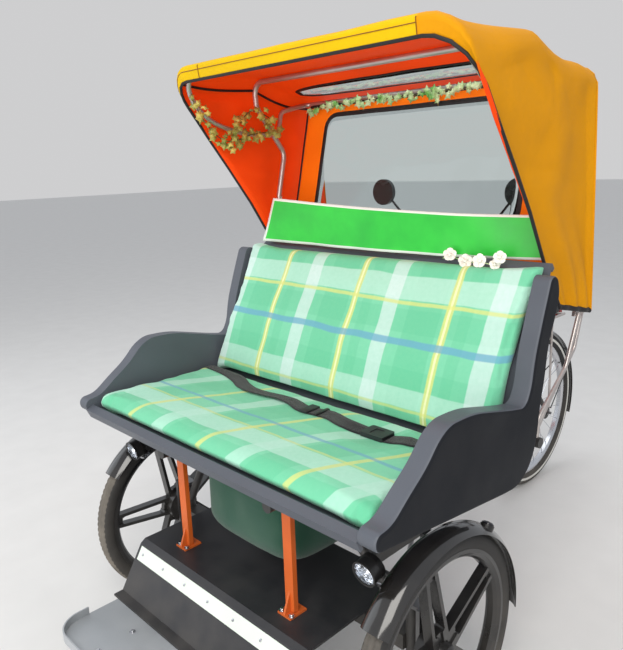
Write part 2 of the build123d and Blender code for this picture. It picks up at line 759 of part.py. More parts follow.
def knuckle(side):
    """A knuckle: kingpin, two lugs round the housing, upright, stub axle and steering arms."""
    x = side * KINGPIN_X
    low = HOUSING_LOW_Z - LUG_GAP - LUG_T
    high = HOUSING_HIGH_Z + LUG_GAP
    reach = UPRIGHT_X + UPRIGHT_T
    body = Pos(x, 0, (low + high + LUG_T) / 2) * Cylinder(KINGPIN_R, high + LUG_T - low)
    outer_x = x + side * reach
    inner_x = x + side * UPRIGHT_X
    body += block(min(inner_x, outer_x), max(inner_x, outer_x), -UPRIGHT_W / 2, UPRIGHT_W / 2, low, high + LUG_T)
    for z in (low, high):
        lug = Pos(x, 0, z + LUG_T / 2) * Cylinder(HOUSING_R, LUG_T)
        lug += block(min(x, outer_x), max(x, outer_x), -HOUSING_R, HOUSING_R, z, z + LUG_T)
        body += lug
    stub_end = side * (WHEEL_X + HUB_W / 2 + STUB_END_GAP + 8)
    body += rod((inner_x, 0, FRONT_WHEEL_R), (stub_end, 0, FRONT_WHEEL_R), STUB_R)
    collar_end = side * (WHEEL_X - HUB_W / 2 - 1)
    body += rod((inner_x, 0, FRONT_WHEEL_R), (collar_end, 0, FRONT_WHEEL_R), STUB_R + 5)
    nut_start = side * (WHEEL_X + HUB_W / 2 + 1)
    body += rod((nut_start, 0, FRONT_WHEEL_R), (stub_end, 0, FRONT_WHEEL_R), STUB_R + 5)
    arms = [((x, TIE_ARM), RUNNING_GAP if side > 0 else OPEN_PIVOT_GAP)]
    if side > 0:
        arms.append(((x - DRAG_ARM, 0), OPEN_PIVOT_GAP))
    for (tip_x, tip_y), gap in arms:
        body += block(
            min(x, tip_x) - (ARM_W / 2 if tip_x == x else 0), max(x, tip_x) + (ARM_W / 2 if tip_x == x else 0),
            min(0, tip_y) - (ARM_W / 2 if tip_y == 0 else 0), max(0, tip_y) + (ARM_W / 2 if tip_y == 0 else 0),
            low, low + LUG_T,
        )
        body += Pos(tip_x, tip_y, low + LUG_T / 2) * Cylinder(ARM_W / 2, LUG_T)
        body -= hole_z(tip_x, tip_y, STUD_R + gap, low - 1, low + LUG_T + 1)
    return body


ARM_LOW_Z = HOUSING_LOW_Z - LUG_GAP - LUG_T


def tie_rod():
    """The bar between both knuckles' rear arms, with a stud down into each arm."""
    z = ARM_LOW_Z + LUG_T + LINK_R + 3
    bar = rod((-KINGPIN_X, TIE_ARM, z), (KINGPIN_X, TIE_ARM, z), LINK_R)
    for name, side in SIDES:
        bar += Pos(side * KINGPIN_X, TIE_ARM, z) * Cylinder(LINK_R + 4, 2 * LINK_R + 4)
        bar += hole_z(side * KINGPIN_X, TIE_ARM, STUD_R, ARM_LOW_Z, z)
    return bar


def drag_link():
    """The bar from the column's arm to the left knuckle's inner arm, with a stud up into each."""
    z = ARM_LOW_Z - LINK_R - 3
    ends = ((KINGPIN_X - DRAG_ARM, 0), (-DRAG_ARM, COLUMN_Y))
    bar = rod((*ends[0], z), (*ends[1], z), LINK_R)
    for x, y in ends:
        bar += Pos(x, y, z) * Cylinder(LINK_R + 4, 2 * LINK_R + 4)
        bar += hole_z(x, y, STUD_R, z, ARM_LOW_Z + LUG_T)
    return bar


def front_fender(side):
    """A front fender: an arched band round the tyre, with its bracket to the knuckle."""
    crown = FRONT_WHEEL_R + FENDER_GAP + FENDER_T
    edge = crown - FENDER_DROP
    half = FENDER_HALF_W
    t = FENDER_T
    outline = Polyline((-half, edge), (-half + t, edge)) + ThreePointArc(
        (-half + t, edge), (0, crown - t), (half - t, edge)
    )
    outline += Line((half - t, edge), (half, edge)) + ThreePointArc((half, edge), (0, crown), (-half, edge))
    band = revolve(make_face(outline), axis=Axis.X, revolution_arc=FENDER_FRONT_DEG - FENDER_REAR_DEG)
    band = Rot(FENDER_REAR_DEG, 0, 0) * band
    strap_x = -(WHEEL_X - KINGPIN_X - UPRIGHT_X - UPRIGHT_T / 2)
    lug_top = HOUSING_HIGH_Z + LUG_GAP + LUG_T - FRONT_WHEEL_R
    strap = block(strap_x - 3, strap_x + 3, -14, 14, lug_top, edge + 8)
    foot = block(strap_x - 3, -half + 6, -14, 14, edge - 4, edge + 6)
    fender = band + strap + foot
    if side < 0:
        fender = mirror(fender, about=Plane.YZ)
    return Pos(side * WHEEL_X, 0, FRONT_WHEEL_R) * fender


def fender_room():
    """The ring-shaped space under a front fender's outer skin, a running gap larger."""
    crown = FRONT_WHEEL_R + FENDER_GAP + FENDER_T + RUNNING_GAP
    edge = crown - FENDER_DROP
    half = FENDER_HALF_W
    outline = Polyline((half, edge), (half, edge - 30), (-half, edge - 30), (-half, edge))
    outline += ThreePointArc((-half, edge), (0, crown), (half, edge))
    return Pos(WHEEL_X, 0, FRONT_WHEEL_R) * revolve(make_face(outline), axis=Axis.X)


def front_lamps(side):
    """The headlamp on the fender's inner front and the small marker lamp behind."""
    x, y, z = HEADLAMP_POS
    shell = Cylinder(HEADLAMP_R, HEADLAMP_L)
    shell = fillet(shell.edges().sort_by(Axis.Z)[:1], HEADLAMP_R * 0.55)
    glass = Pos(0, 0, HEADLAMP_L / 2) * Cylinder(HEADLAMP_R - 3, 5)
    lamp = Location((x, y, z), (90 + HEADLAMP_DIP, 0, 0)) * (shell + glass)
    lamp += rod((x, y + 8, z - 20), (x + 24, y + 26, z - 46), 5)
    crown = FRONT_WHEEL_R + FENDER_GAP + FENDER_T
    angle = math.radians(MARKER_DEG)
    out = Vector(0, math.cos(angle), math.sin(angle))
    base = Vector(WHEEL_X + 16, 0, FRONT_WHEEL_R) + out * (crown - FENDER_DROP)
    marker = extrude(Plane(origin=base, z_dir=out) * Circle(MARKER_R), amount=FENDER_DROP + MARKER_L - 2)
    marker -= fender_room()
    if side < 0:
        return [mirror(lamp, about=Plane.YZ), mirror(marker, about=Plane.YZ)]
    return [lamp, marker]


# Rear bicycle half


SEAT_TOP_Y = BB_Y + SEAT_TUBE_L * math.cos(math.radians(SEAT_TUBE_DEG))
SEAT_TOP_Z = BB_Z + SEAT_TUBE_L * math.sin(math.radians(SEAT_TUBE_DEG))
DROPOUT_X = REAR_HUB_HALF + 5


def seat_point(length):
    """A point along the seat tube's axis from the bottom bracket, as (0, y, z)."""
    angle = math.radians(SEAT_TUBE_DEG)
    return (0, BB_Y + length * math.cos(angle), BB_Z + length * math.sin(angle))


def rear_frame():
    """The bicycle frame: head tube, low main tube, seat tube and both pairs of stays."""
    head_mid = (HEAD_LOW_Z + HEAD_HIGH_Z) / 2
    frame = rod((0, CROSS_Y, BEAM_Z), (0, COLUMN_Y - HEAD_R + 4, HEAD_LOW_Z + 30), MAIN_TUBE_R)
    frame += rod((0, CROSS_Y, RAIL_Z), (0, COLUMN_Y - HEAD_R + 6, HEAD_HIGH_Z - 30), SEAT_TUBE_R)
    frame += rod((0, COLUMN_Y + HEAD_R - 4, HEAD_LOW_Z + 34), (0, BB_Y, BB_Z + 8), MAIN_TUBE_R - 3)
    frame += rod((0, COLUMN_Y + HEAD_R - 4, HEAD_HIGH_Z - 40), seat_point(TOP_TUBE_AT), SEAT_TUBE_R)
    frame += rod(seat_point(0), seat_point(SEAT_TUBE_L), SEAT_TUBE_R)
    frame += Pos(0, COLUMN_Y, head_mid) * Cylinder(HEAD_R, HEAD_HIGH_Z - HEAD_LOW_Z)
    frame += Pos(0, BB_Y, BB_Z) * Rot(0, 90, 0) * Cylinder(BB_R, BB_W)
    for name, side in SIDES:
        x = side * DROPOUT_X
        frame += tube(
            [(side * 22, BB_Y + 10, BB_Z), (side * 42, BB_Y + 120, BB_Z + 6), (x, WHEELBASE - 27, REAR_WHEEL_R - 4)],
            STAY_R, 30,
        )
        start = seat_point(SEAT_TUBE_L - 60)
        frame += tube(
            [
                (side * 8, start[1], start[2]), (side * 52, start[1] + 60, start[2] - 30),
                (x, WHEELBASE - 14, REAR_WHEEL_R + 24),
            ],
            STAY_R, 26,
        )
        plate = Pos(x, WHEELBASE, REAR_WHEEL_R) * Rot(0, 90, 0) * Cylinder(30, 6)
        frame += plate
    bore = SEAT_TUBE_R - 3.5
    inner = Plane(origin=seat_point(SEAT_TUBE_L - POST_BORE_L), z_dir=Vector(*seat_point(1)) - Vector(*seat_point(0)))
    frame -= extrude(inner * Circle(bore), amount=POST_BORE_L + 50)
    frame -= rod((-60, CROSS_Y, RAIL_Z), (60, CROSS_Y, RAIL_Z), RAIL_R)
    frame -= block(-60, 60, CROSS_Y - 40, CROSS_Y, BEAM_Z - 60, BEAM_Z + 60)
    frame -= hole_z(0, COLUMN_Y, COLUMN_R + RUNNING_GAP, HEAD_LOW_Z - 80, HEAD_HIGH_Z + 80)
    frame -= Pos(0, BB_Y, BB_Z) * Rot(0, 90, 0) * Cylinder(CRANKSHAFT_R + RUNNING_GAP, BB_W + 40)
    for name, side in SIDES:
        frame -= Pos(side * DROPOUT_X, WHEELBASE, REAR_WHEEL_R) * Rot(0, 90, 0) * Cylinder(REAR_AXLE_R, 60)
    return frame


def rear_axle():
    """The fixed rear axle with its two end nuts."""
    end = DROPOUT_X + AXLE_NUT_END + AXLE_FREE
    axle = rod((-end, WHEELBASE, REAR_WHEEL_R), (end, WHEELBASE, REAR_WHEEL_R), REAR_AXLE_R)
    for name, side in SIDES:
        nut = Plane.YZ.offset(side * (DROPOUT_X + 3)) * Pos(WHEELBASE, REAR_WHEEL_R) * RegularPolygon(11, 6)
        axle += extrude(nut, amount=side * (AXLE_NUT_END - 3))
    return axle


def rear_wheel():
    """The laced rear wheel: rim, hub with two flanges, tangent spokes and the sprocket."""
    outer = REAR_WHEEL_R - TYRE_H
    half = REAR_RIM_HALF
    wheel = turned(
        [
            (-half, outer + 8), (-half + 3, outer + 8), (-half + 4, outer), (half - 4, outer),
            (half - 3, outer + 8), (half, outer + 8), (half, outer - 6), (8, outer - 16),
            (-8, outer - 16), (-half, outer - 6),
        ]
    )
    hub_half = REAR_HUB_HALF - 1
    wheel += turned(
        [
            (-hub_half, REAR_AXLE_R + RUNNING_GAP), (-hub_half, 12), (-36, 16), (-30, 16), (-30, 32),
            (-26, 32), (-24, 20), (24, 20), (26, 32), (30, 32), (30, 16), (hub_half, 12),
            (hub_half, REAR_AXLE_R + RUNNING_GAP),
        ]
    )
    for index in range(REAR_SPOKES):
        side = 1 if index % 2 else -1
        twist = 18 if (index // 2) % 2 else -18
        a0 = math.radians(index * 360 / REAR_SPOKES + twist)
        a1 = math.radians(index * 360 / REAR_SPOKES)
        start = (side * 28, 29 * math.cos(a0), 29 * math.sin(a0))
        end = (side * 4, (outer - 12) * math.cos(a1), (outer - 12) * math.sin(a1))
        way = Vector(*end) - Vector(*start)
        wheel += extrude(Plane(origin=start, z_dir=way) * Rectangle(2.4, 2.4), amount=way.length)
    teeth = 18
    points = []
    for index in range(teeth * 2):
        angle = index * math.pi / teeth
        radius = SPROCKET_R - CHAIN_H / 2 + (1 if index % 2 else -1)
        points.append((radius * math.cos(angle), radius * math.sin(angle)))
    ring = extrude(Plane.YZ.offset(CHAIN_X - 2) * make_face(Polyline(*points, close=True)), amount=4)
    ring -= Rot(0, 90, 0) * Cylinder(12, 400)
    wheel += ring
    return Pos(0, WHEELBASE, REAR_WHEEL_R) * wheel


def rear_tyre():
    """The rear tyre on its rim."""
    tyre = turned(tyre_outline(REAR_WHEEL_R, REAR_TYRE_W, TYRE_H, REAR_RIM_HALF - 4.5))
    return Pos(0, WHEELBASE, REAR_WHEEL_R) * tyre


def crank_set():
    """The crankshaft with both arms and the chainring, arms level at rest."""
    crank = Rot(0, 90, 0) * Cylinder(CRANKSHAFT_R, 2 * 84)
    for name, side in SIDES:
        arm = block(side * 78 - 7, side * 78 + 7, 0, CRANK_L, -11, 11)
        arm += Pos(side * 78, 0, 0) * Rot(0, 90, 0) * Cylinder(17, 14)
        arm += Pos(side * 78, CRANK_L, 0) * Rot(0, 90, 0) * Cylinder(13, 14)
        if side > 0:
            arm = Rot(180, 0, 0) * arm
        crank += arm
        tip = -CRANK_L if side > 0 else CRANK_L
        crank += rod((side * 78, tip, 0), (side * (PEDAL_X + PEDAL_L / 2 + 2), tip, 0), 5)
    teeth = 38
    points = []
    for index in range(teeth * 2):
        angle = index * math.pi / teeth
        radius = CHAINRING_R - CHAIN_H / 2 + (1 if index % 2 else -1)
        points.append((radius * math.cos(angle), radius * math.sin(angle)))
    ring = extrude(Plane.YZ.offset(CHAIN_X - 2) * make_face(Polyline(*points, close=True)), amount=4)
    holes = [
        Pos(0, 52 * math.cos(k * 1.2566), 52 * math.sin(k * 1.2566)) * Rot(0, 90, 0) * Cylinder(15, 300)
        for k in range(5)
    ]
    for hole in holes:
        ring -= hole
    crank += ring
    crank += Pos(-62, 0, 0) * Rot(0, 90, 0) * Cylinder(17, 32)
    return Pos(0, BB_Y, BB_Z) * crank


def pedal(side):
    """A flat pedal with a cage open on both faces, on its spindle."""
    y = BB_Y + (-CRANK_L if side > 0 else CRANK_L)
    body = Box(PEDAL_L, PEDAL_W, PEDAL_H)
    body = fillet(body.edges().filter_by(Axis.Z), 10)
    for half in (-1, 1):
        body -= Pos(0, half * (PEDAL_W / 4 + 3), 0) * Box(PEDAL_L - 22, PEDAL_W / 2 - 18, PEDAL_H + 2)
    body -= Rot(0, 90, 0) * Cylinder(5 + RUNNING_GAP, PEDAL_L + 10)
    return Pos(side * PEDAL_X, y, BB_Z) * body


def drive_chain():
    """The chain as one fixed loop round chainring and sprocket."""
    gap = WHEELBASE - BB_Y
    rise = REAR_WHEEL_R - BB_Z
    length = math.hypot(gap, rise)
    lean = math.degrees(math.atan2(rise, gap))
    tilt = math.asin((CHAINRING_R - SPROCKET_R) / length)

    def outline(grow):
        """The belt line round both wheels, grown by a distance."""
        big = CHAINRING_R + grow
        small = SPROCKET_R + grow
        up = (math.sin(tilt), math.cos(tilt))
        a = (big * up[0], big * up[1])
        b = (length + small * up[0], small * up[1])
        c = (b[0], -b[1])
        d = (a[0], -a[1])
        lines = Line(a, b) + ThreePointArc(b, (length + small, 0), c)
        lines += Line(c, d) + ThreePointArc(d, (-big, 0), a)
        return make_face(lines)

    loop = outline(CHAIN_H / 2) - outline(-CHAIN_H / 2 + 2.4)
    body = extrude(Plane.YZ * loop, amount=CHAIN_W)
    return Pos(CHAIN_X - CHAIN_W / 2, BB_Y, BB_Z) * Rot(lean, 0, 0) * body


def drive_motor():
    """The motor block in front of the bottom bracket, closed and plain."""
    reach = MOTOR_SHARE * (BB_Y - COLUMN_Y)
    shoulder = 0.8 * reach
    outline = [(-30, 26), (-shoulder, 60), (-reach, 20), (-shoulder, -52), (-shoulder / 3, -62), (-30, -30)]
    face = make_face(Polyline(*[(BB_Y + y, BB_Z + z) for y, z in outline], close=True))
    face = fillet(face.vertices(), 9)
    body = extrude(Plane.YZ.offset(-38) * face, amount=76)
    return body - rear_frame()


def rear_rack():
    """The rack over the rear wheel: two rails, cross bars and legs to the dropouts."""
    rails = None
    for name, side in SIDES:
        rail = tube(
            [
                (side * 60, SEAT_TOP_Y + 60, RACK_Z), (side * 60, WHEELBASE + 150, RACK_Z),
            ],
            6,
        )
        leg = rod((side * 60, WHEELBASE + 40, RACK_Z), (side * (DROPOUT_X + 9), WHEELBASE + 6, REAR_WHEEL_R + 22), 5)
        part = rail + leg
        rails = part if rails is None else rails + part
    for y in (SEAT_TOP_Y + 66, WHEELBASE, WHEELBASE + 146):
        rails += rod((-60, y, RACK_Z), (60, y, RACK_Z), 5)
    return rails


def battery():
    """The battery in its case on the rack."""
    body = block(-52, 52, SEAT_TOP_Y + 78, WHEELBASE + 120, RACK_Z + 6.5, RACK_Z + 78)
    return fillet(body.edges().filter_by(Axis.Y), 16)


def rear_fender():
    """The rear fender: an arched band with a flap at its rear end and wire stays."""
    crown = REAR_WHEEL_R + REAR_FENDER_GAP + FENDER_T
    t = FENDER_T
    half = 32
    outline = Polyline((-half, crown - 14), (-half + t, crown - 14)) + ThreePointArc(
        (-half + t, crown - 14), (0, crown - t), (half - t, crown - 14)
    )
    outline += Line((half - t, crown - 14), (half, crown - 14))
    outline += ThreePointArc((half, crown - 14), (0, crown), (-half, crown - 14))
    band = Rot(-18, 0, 0) * revolve(make_face(outline), axis=Axis.X, revolution_arc=178)
    for name, side in SIDES:
        band += rod((side * 30.5, 305, 160), (side * (DROPOUT_X + 7), 32, 12), 2.5)
        band += rod((side * (DROPOUT_X + 9), 32, 12), (side * (DROPOUT_X - 4), 32, 12), 3)
    return Pos(0, WHEELBASE, REAR_WHEEL_R) * band


def rear_lamp():
    """The rear lamp behind the rack."""
    lens_body = block(-38, 38, WHEELBASE + 156.5, WHEELBASE + 176, RACK_Z - 20, RACK_Z + 16)
    return fillet(lens_body.edges().filter_by(Axis.Y), 8)


def seat_post():
    """The seat post with its clamp head."""
    start = seat_point(SEAT_TUBE_L - 120)
    end = seat_point(SEAT_TUBE_L + (SADDLE_Z - 62 - SEAT_TOP_Z) / math.sin(math.radians(SEAT_TUBE_DEG)))
    post = rod(start, end, SEAT_TUBE_R - 3.5)
    post += Pos(end[0], end[1], end[2] + 4) * Box(44, 56, 24)
    return post


def saddle():
    """The saddle: a broad rear that narrows to the nose, with a hollow underside."""
    end = seat_point(SEAT_TUBE_L + (SADDLE_Z - 62 - SEAT_TOP_Z) / math.sin(math.radians(SEAT_TUBE_DEG)))
    y0 = end[1] - SADDLE_L * 0.52
    sections = (
        (0, 18, 18, -6), (70, 24, 20, -2), (130, 46, 26, 0), (190, 78, 34, 4), (240, SADDLE_W / 2, 36, 8),
        (SADDLE_L, SADDLE_W / 2 - 14, 26, 4),
    )
    faces = []
    for y, half, height, lift in sections:
        top = SADDLE_Z + lift
        line = Spline((-half, top - height), (0, top), (half, top - height), tangents=((0.1, 1), (0.1, -1)))
        line += Line((half, top - height), (-half, top - height))
        faces.append(Plane(origin=(0, y0 + y, 0), x_dir=(1, 0, 0), z_dir=(0, -1, 0)) * make_face(line))
    return loft(faces)


# Steering


def steering_column():
    """The column in the head tube with its low arm, collar and clamp at the top."""
    low = ARM_LOW_Z
    column = hole_z(0, COLUMN_Y, COLUMN_R, low, BAR_Z - 40)
    column += hole_z(0, COLUMN_Y, HEAD_R, HEAD_HIGH_Z + 1, HEAD_HIGH_Z + 16)
    column += hole_z(0, COLUMN_Y, HEAD_R, HEAD_LOW_Z - 16, HEAD_LOW_Z - 1)
    column += block(-DRAG_ARM, 0, COLUMN_Y - ARM_W / 2, COLUMN_Y + ARM_W / 2, low, low + LUG_T)
    column += Pos(-DRAG_ARM, COLUMN_Y, low + LUG_T / 2) * Cylinder(ARM_W / 2, LUG_T)
    column += Pos(0, COLUMN_Y, low + LUG_T / 2) * Cylinder(HEAD_R, LUG_T)
    column -= hole_z(-DRAG_ARM, COLUMN_Y, STUD_R + RUNNING_GAP, low - 1, low + LUG_T + 1)
    column += Pos(0, COLUMN_Y, BAR_Z - 58) * Cylinder(20, 36)
    return column


BAR_POINTS = [
    (-BAR_HALF, BAR_Y + 120, BAR_Z), (-180, BAR_Y + 40, BAR_Z + 10), (-60, BAR_Y, BAR_Z - 16),
    (60, BAR_Y, BAR_Z - 16), (180, BAR_Y + 40, BAR_Z + 10), (BAR_HALF, BAR_Y + 120, BAR_Z),
]


def handlebar():
    """The swept handlebar in its stem clamp."""
    bar = tube(BAR_POINTS, BAR_R, 50)
    bar += Pos(0, BAR_Y, BAR_Z - 16) * Rot(0, 90, 0) * Cylinder(19, 52)
    bar += hole_z(0, COLUMN_Y, 16, BAR_Z - 40, BAR_Z - 20)
    return bar


def bar_run(side, start, length):
    """Two points on the straight outer run of the bar, start and length measured from its end."""
    a = Vector(side * BAR_HALF, BAR_Y + 120, BAR_Z)
    b = Vector(side * 180, BAR_Y + 40, BAR_Z + 10)
    way = (b - a).normalized()
    return a + way * start, a + way * (start + length)


def bar_grips():
    """Both rubber grips."""
    grips = []
    for name, side in SIDES:
        a, b = bar_run(side, -4, GRIP_L)
        plane = Plane(origin=a, z_dir=b - a)
        grip = extrude(plane * Circle(GRIP_R), amount=GRIP_L)
        c, d = bar_run(side, 0, GRIP_L)
        grip -= extrude(Plane(origin=c, z_dir=d - c) * Circle(BAR_R), amount=GRIP_L + 5)
        grips.append(grip)
    return grips


def hand_levers():
    """Both brake levers with their clamps."""
    levers = []
    for name, side in SIDES:
        a, b = bar_run(side, GRIP_L + 3, 22)
        clamp = extrude(Plane(origin=a, z_dir=b - a) * Circle(GRIP_R + 2), amount=22)
        mid = (a + b) * 0.5
        tip, far = bar_run(side, 18, 10)
        lever = tube(
            [
                (mid.X, mid.Y - 8, mid.Z - 4), (mid.X + side * 10, mid.Y - 46, mid.Z - 12),
                (tip.X + side * 4, tip.Y - 52, tip.Z - 14),
            ],
            5.5, 14,
        )
        one = clamp + lever
        one -= extrude(Plane(origin=a - (b - a), z_dir=b - a) * Circle(BAR_R), amount=80)
        levers.append(one)
    return levers


def mirrors():
    """Both mirrors on their stalks."""
    pieces = []
    for name, side in SIDES:
        a, b = bar_run(side, GRIP_L + 30, 18)
        mid = (a + b) * 0.5
        clamp = extrude(Plane(origin=a, z_dir=b - a) * Circle(GRIP_R - 1), amount=18)
        stalk = tube(
            [
                (mid.X, mid.Y, mid.Z + 8), (mid.X + side * 6, mid.Y - 6, mid.Z + 90),
                (mid.X + side * 60, mid.Y - 16, mid.Z + 150),
            ],
            4, 24,
        )
        head = Location((mid.X + side * 86, mid.Y - 20, mid.Z + 172), (90, 0, side * 12)) * Cylinder(46, 16)
        one = clamp + stalk + head
        one -= tube(BAR_POINTS, BAR_R + RUNNING_GAP, 50)
        pieces.append(one)
    return pieces


# All pieces by node name


PIECES = [
    ("cabin_frame", cabin_frame), ("frame_legs", frame_legs), ("floor_deck", floor_deck),
    ("toe_strip", toe_strip), ("footplate", footplate), ("storage_bag", storage_bag),
    ("seat_pan", seat_pan), ("seat_back", seat_back), ("seat_cushion", seat_cushion),
    ("back_cushion", back_cushion), ("lap_belt", lap_belt), ("belt_buckle", belt_buckle),
    ("hood_canopy", hood_canopy), ("hood_bow_front", bow_front), ("hood_bow_main", bow_main),
    ("hood_bow_rear", bow_rear), ("hood_stays", hood_stays), ("rear_panel", rear_panel),
    ("hood_windows", hood_windows), ("banner", banner),
    ("tie_rod", tie_rod), ("drag_link", drag_link),
    ("rear_frame", rear_frame), ("rear_axle", rear_axle), ("rear_wheel", rear_wheel),
    ("rear_tyre", rear_tyre), ("crank_set", crank_set), ("drive_chain", drive_chain),
    ("drive_motor", drive_motor), ("rear_rack", rear_rack), ("battery", battery),
    ("rear_fender", rear_fender), ("rear_lamp", rear_lamp), ("seat_post", seat_post),
    ("saddle", saddle), ("steering_column", steering_column), ("handlebar", handlebar),
    ("bar_grips", bar_grips), ("hand_levers", hand_levers), ("mirrors", mirrors),
]
SIDE_PIECES = [
    ("seat_side", seat_side), ("front_wheel", front_wheel), ("front_tyre", front_tyre),
    ("knuckle", knuckle), ("front_fender", front_fender), ("front_lamps", front_lamps), ("pedal", pedal),
]


def finish(shape):
    """One shape, or several that don't touch, as one compound."""
    if isinstance(shape, list):
        return Compound(children=list(shape))
    return shape


for node, make in PIECES:
    save(finish(make()), node)
for node, make in SIDE_PIECES:
    for name, side in SIDES:
        save(finish(make(side)), node + "_" + name)
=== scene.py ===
import logging
import math
import random
from collections.abc import Callable, Iterable
from dataclasses import dataclass
from enum import Enum

import bmesh
import bpy
from bmesh.types import BMEdge, BMesh, BMVert
from bpy.types import Material, Node, NodeSocket as Socket, NodeTree, Object
from mathutils import Matrix, Vector, noise
from mathutils.bvhtree import BVHTree


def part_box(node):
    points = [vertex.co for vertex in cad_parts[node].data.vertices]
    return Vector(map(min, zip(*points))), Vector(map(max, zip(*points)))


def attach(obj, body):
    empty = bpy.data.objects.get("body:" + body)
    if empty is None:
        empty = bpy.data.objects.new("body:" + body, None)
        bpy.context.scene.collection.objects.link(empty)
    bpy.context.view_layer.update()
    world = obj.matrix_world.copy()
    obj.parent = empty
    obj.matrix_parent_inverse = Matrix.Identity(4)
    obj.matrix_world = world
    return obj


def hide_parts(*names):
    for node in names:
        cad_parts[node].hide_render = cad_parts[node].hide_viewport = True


# Dresses the cycle rickshaw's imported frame: cloth hood, plaid cushions, moulded seat, cast and laced wheels.
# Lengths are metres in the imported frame. Y values named "from the axle" are measured from the front axle.

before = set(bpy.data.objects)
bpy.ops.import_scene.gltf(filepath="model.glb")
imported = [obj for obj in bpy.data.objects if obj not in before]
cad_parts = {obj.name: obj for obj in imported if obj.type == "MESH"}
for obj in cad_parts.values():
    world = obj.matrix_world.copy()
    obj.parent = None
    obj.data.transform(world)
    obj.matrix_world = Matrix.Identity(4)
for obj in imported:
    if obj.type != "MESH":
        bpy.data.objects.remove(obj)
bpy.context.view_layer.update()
LOG = logging.getLogger("rickshaw")
Points = list[Vector]
Colour = tuple[float, float, float, float]
Triple = tuple[float, float, float]
Outline = list[tuple[float, float]]


def axle_y(node: str) -> float:
    """Gives the Y of a wheel's axle from its node's box."""
    low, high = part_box(node)
    return (low.y + high.y) / 2


AXLE_Y = axle_y("front_tyre_left")
REAR_Y = axle_y("rear_tyre")


def at(x: float, y: float, z: float) -> Vector:
    """Places a point whose Y is measured from the front axle."""
    return Vector((x, AXLE_Y + y, z))


def rgb(red: int, green: int, blue: int) -> Colour:
    """Turns an 8-bit screen colour into the linear colour a shader takes."""
    linear = [((c / 255 + 0.055) / 1.055) ** 2.4 if c > 10 else c / 255 / 12.92 for c in (red, green, blue)]
    return (*linear, 1.0)


def toned(colour: Colour, share: float) -> Colour:
    """Gives a colour made darker or lighter by a share, with no channel above 1."""
    return (*(min(1.0, c * share) for c in colour[:3]), 1.0)


def clamp(value: float, low: float = 0.0, high: float = 1.0) -> float:
    """Keeps a number between two limits."""
    return max(low, min(high, value))


# Shader graph helpers and shared effects


class Graph:
    """Adds and links nodes in one node tree."""

    def __init__(self, tree: NodeTree) -> None:
        """Keeps the tree."""
        self.tree = tree

    def add(self, kind: str, **values: object) -> Node:
        """Adds a node.

        Args:
            kind: The node's type name.
            values: Properties of the node.

        Returns:
            The new node.
        """
        node = self.tree.nodes.new(kind)
        for key, value in values.items():
            setattr(node, key, value)
        return node

    def join(self, source: Socket, target: Socket) -> None:
        """Links an output to an input."""
        self.tree.links.new(source, target)

    def put(self, socket: Socket, value: object) -> None:
        """Links an input to an output, or sets it to a number or a colour."""
        if isinstance(value, Socket):
            self.join(value, socket)
        else:
            socket.default_value = value

    def math(self, operation: str, first: object, second: object = 0.0) -> Socket:
        """Adds a Math node on two sockets or numbers and returns its output."""
        node = self.add("ShaderNodeMath", operation=operation)
        self.put(node.inputs[0], first)
        self.put(node.inputs[1], second)
        return node.outputs[0]

    def blend(self, factor: object, first: object, second: object, mode: str = "MIX") -> Socket:
        """Mixes two colours by a factor and returns the result."""
        node = self.add("ShaderNodeMix", data_type="RGBA", blend_type=mode)
        for index, value in ((0, factor), (6, first), (7, second)):
            self.put(node.inputs[index], value)
        return node.outputs[2]

    def remap(self, source: Socket, end: str, low: float, high: float) -> Socket:
        """Adds a Map Range node with the two limits of one end, "From" or "To", set."""
        node = self.add("ShaderNodeMapRange")
        self.join(source, node.inputs["Value"])
        node.inputs[f"{end} Min"].default_value = low
        node.inputs[f"{end} Max"].default_value = high
        return node.outputs["Result"]

    def spread(self, source: Socket, low: float, high: float) -> Socket:
        """Stretches a value so that low becomes 0 and high becomes 1."""
        return self.remap(source, "From", low, high)

    def range(self, source: Socket, low: float, high: float) -> Socket:
        """Turns a mask into a number between two limits."""
        return self.remap(source, "To", low, high)

    def noise(self, place: Socket, scale: object, detail: float = 2.0) -> Socket:
        """Adds a noise texture at a place and returns its value."""
        node = self.add("ShaderNodeTexNoise")
        self.join(place, node.inputs["Vector"])
        self.put(node.inputs["Scale"], scale)
        node.inputs["Detail"].default_value = detail
        return node.outputs[0]

    def split(self, place: Socket) -> bpy.types.NodeOutputs:
        """Takes a vector apart and returns its three outputs."""
        node = self.add("ShaderNodeSeparateXYZ")
        self.join(place, node.inputs[0])
        return node.outputs

    def group(self, tree: NodeTree, **values: object) -> Node:
        """Places a shared effect and sets or links its inputs, given with spaces as underscores."""
        node = self.add("ShaderNodeGroup", node_tree=tree)
        for key, value in values.items():
            self.put(node.inputs[key.replace("_", " ")], value)
        return node


def new_group(name: str, inputs: dict[str, tuple[str, object]],
              outputs: dict[str, str]) -> tuple[Graph, Node, Node]:
    """Makes a shader node group with named sockets.

    Args:
        name: The group's name.
        inputs: Socket type and default value by name.
        outputs: Socket type by name.

    Returns:
        The graph, its input node and its output node.
    """
    tree = bpy.data.node_groups.new(name, "ShaderNodeTree")
    for key, (kind, value) in inputs.items():
        socket = tree.interface.new_socket(key, in_out="INPUT", socket_type=kind)
        if value is not None:
            socket.default_value = value
    for key, kind in outputs.items():
        tree.interface.new_socket(key, in_out="OUTPUT", socket_type=kind)
    graph = Graph(tree)
    return graph, graph.add("NodeGroupInput"), graph.add("NodeGroupOutput")


FLOAT, COLOUR, VECTOR = "NodeSocketFloat", "NodeSocketColor", "NodeSocketVector"


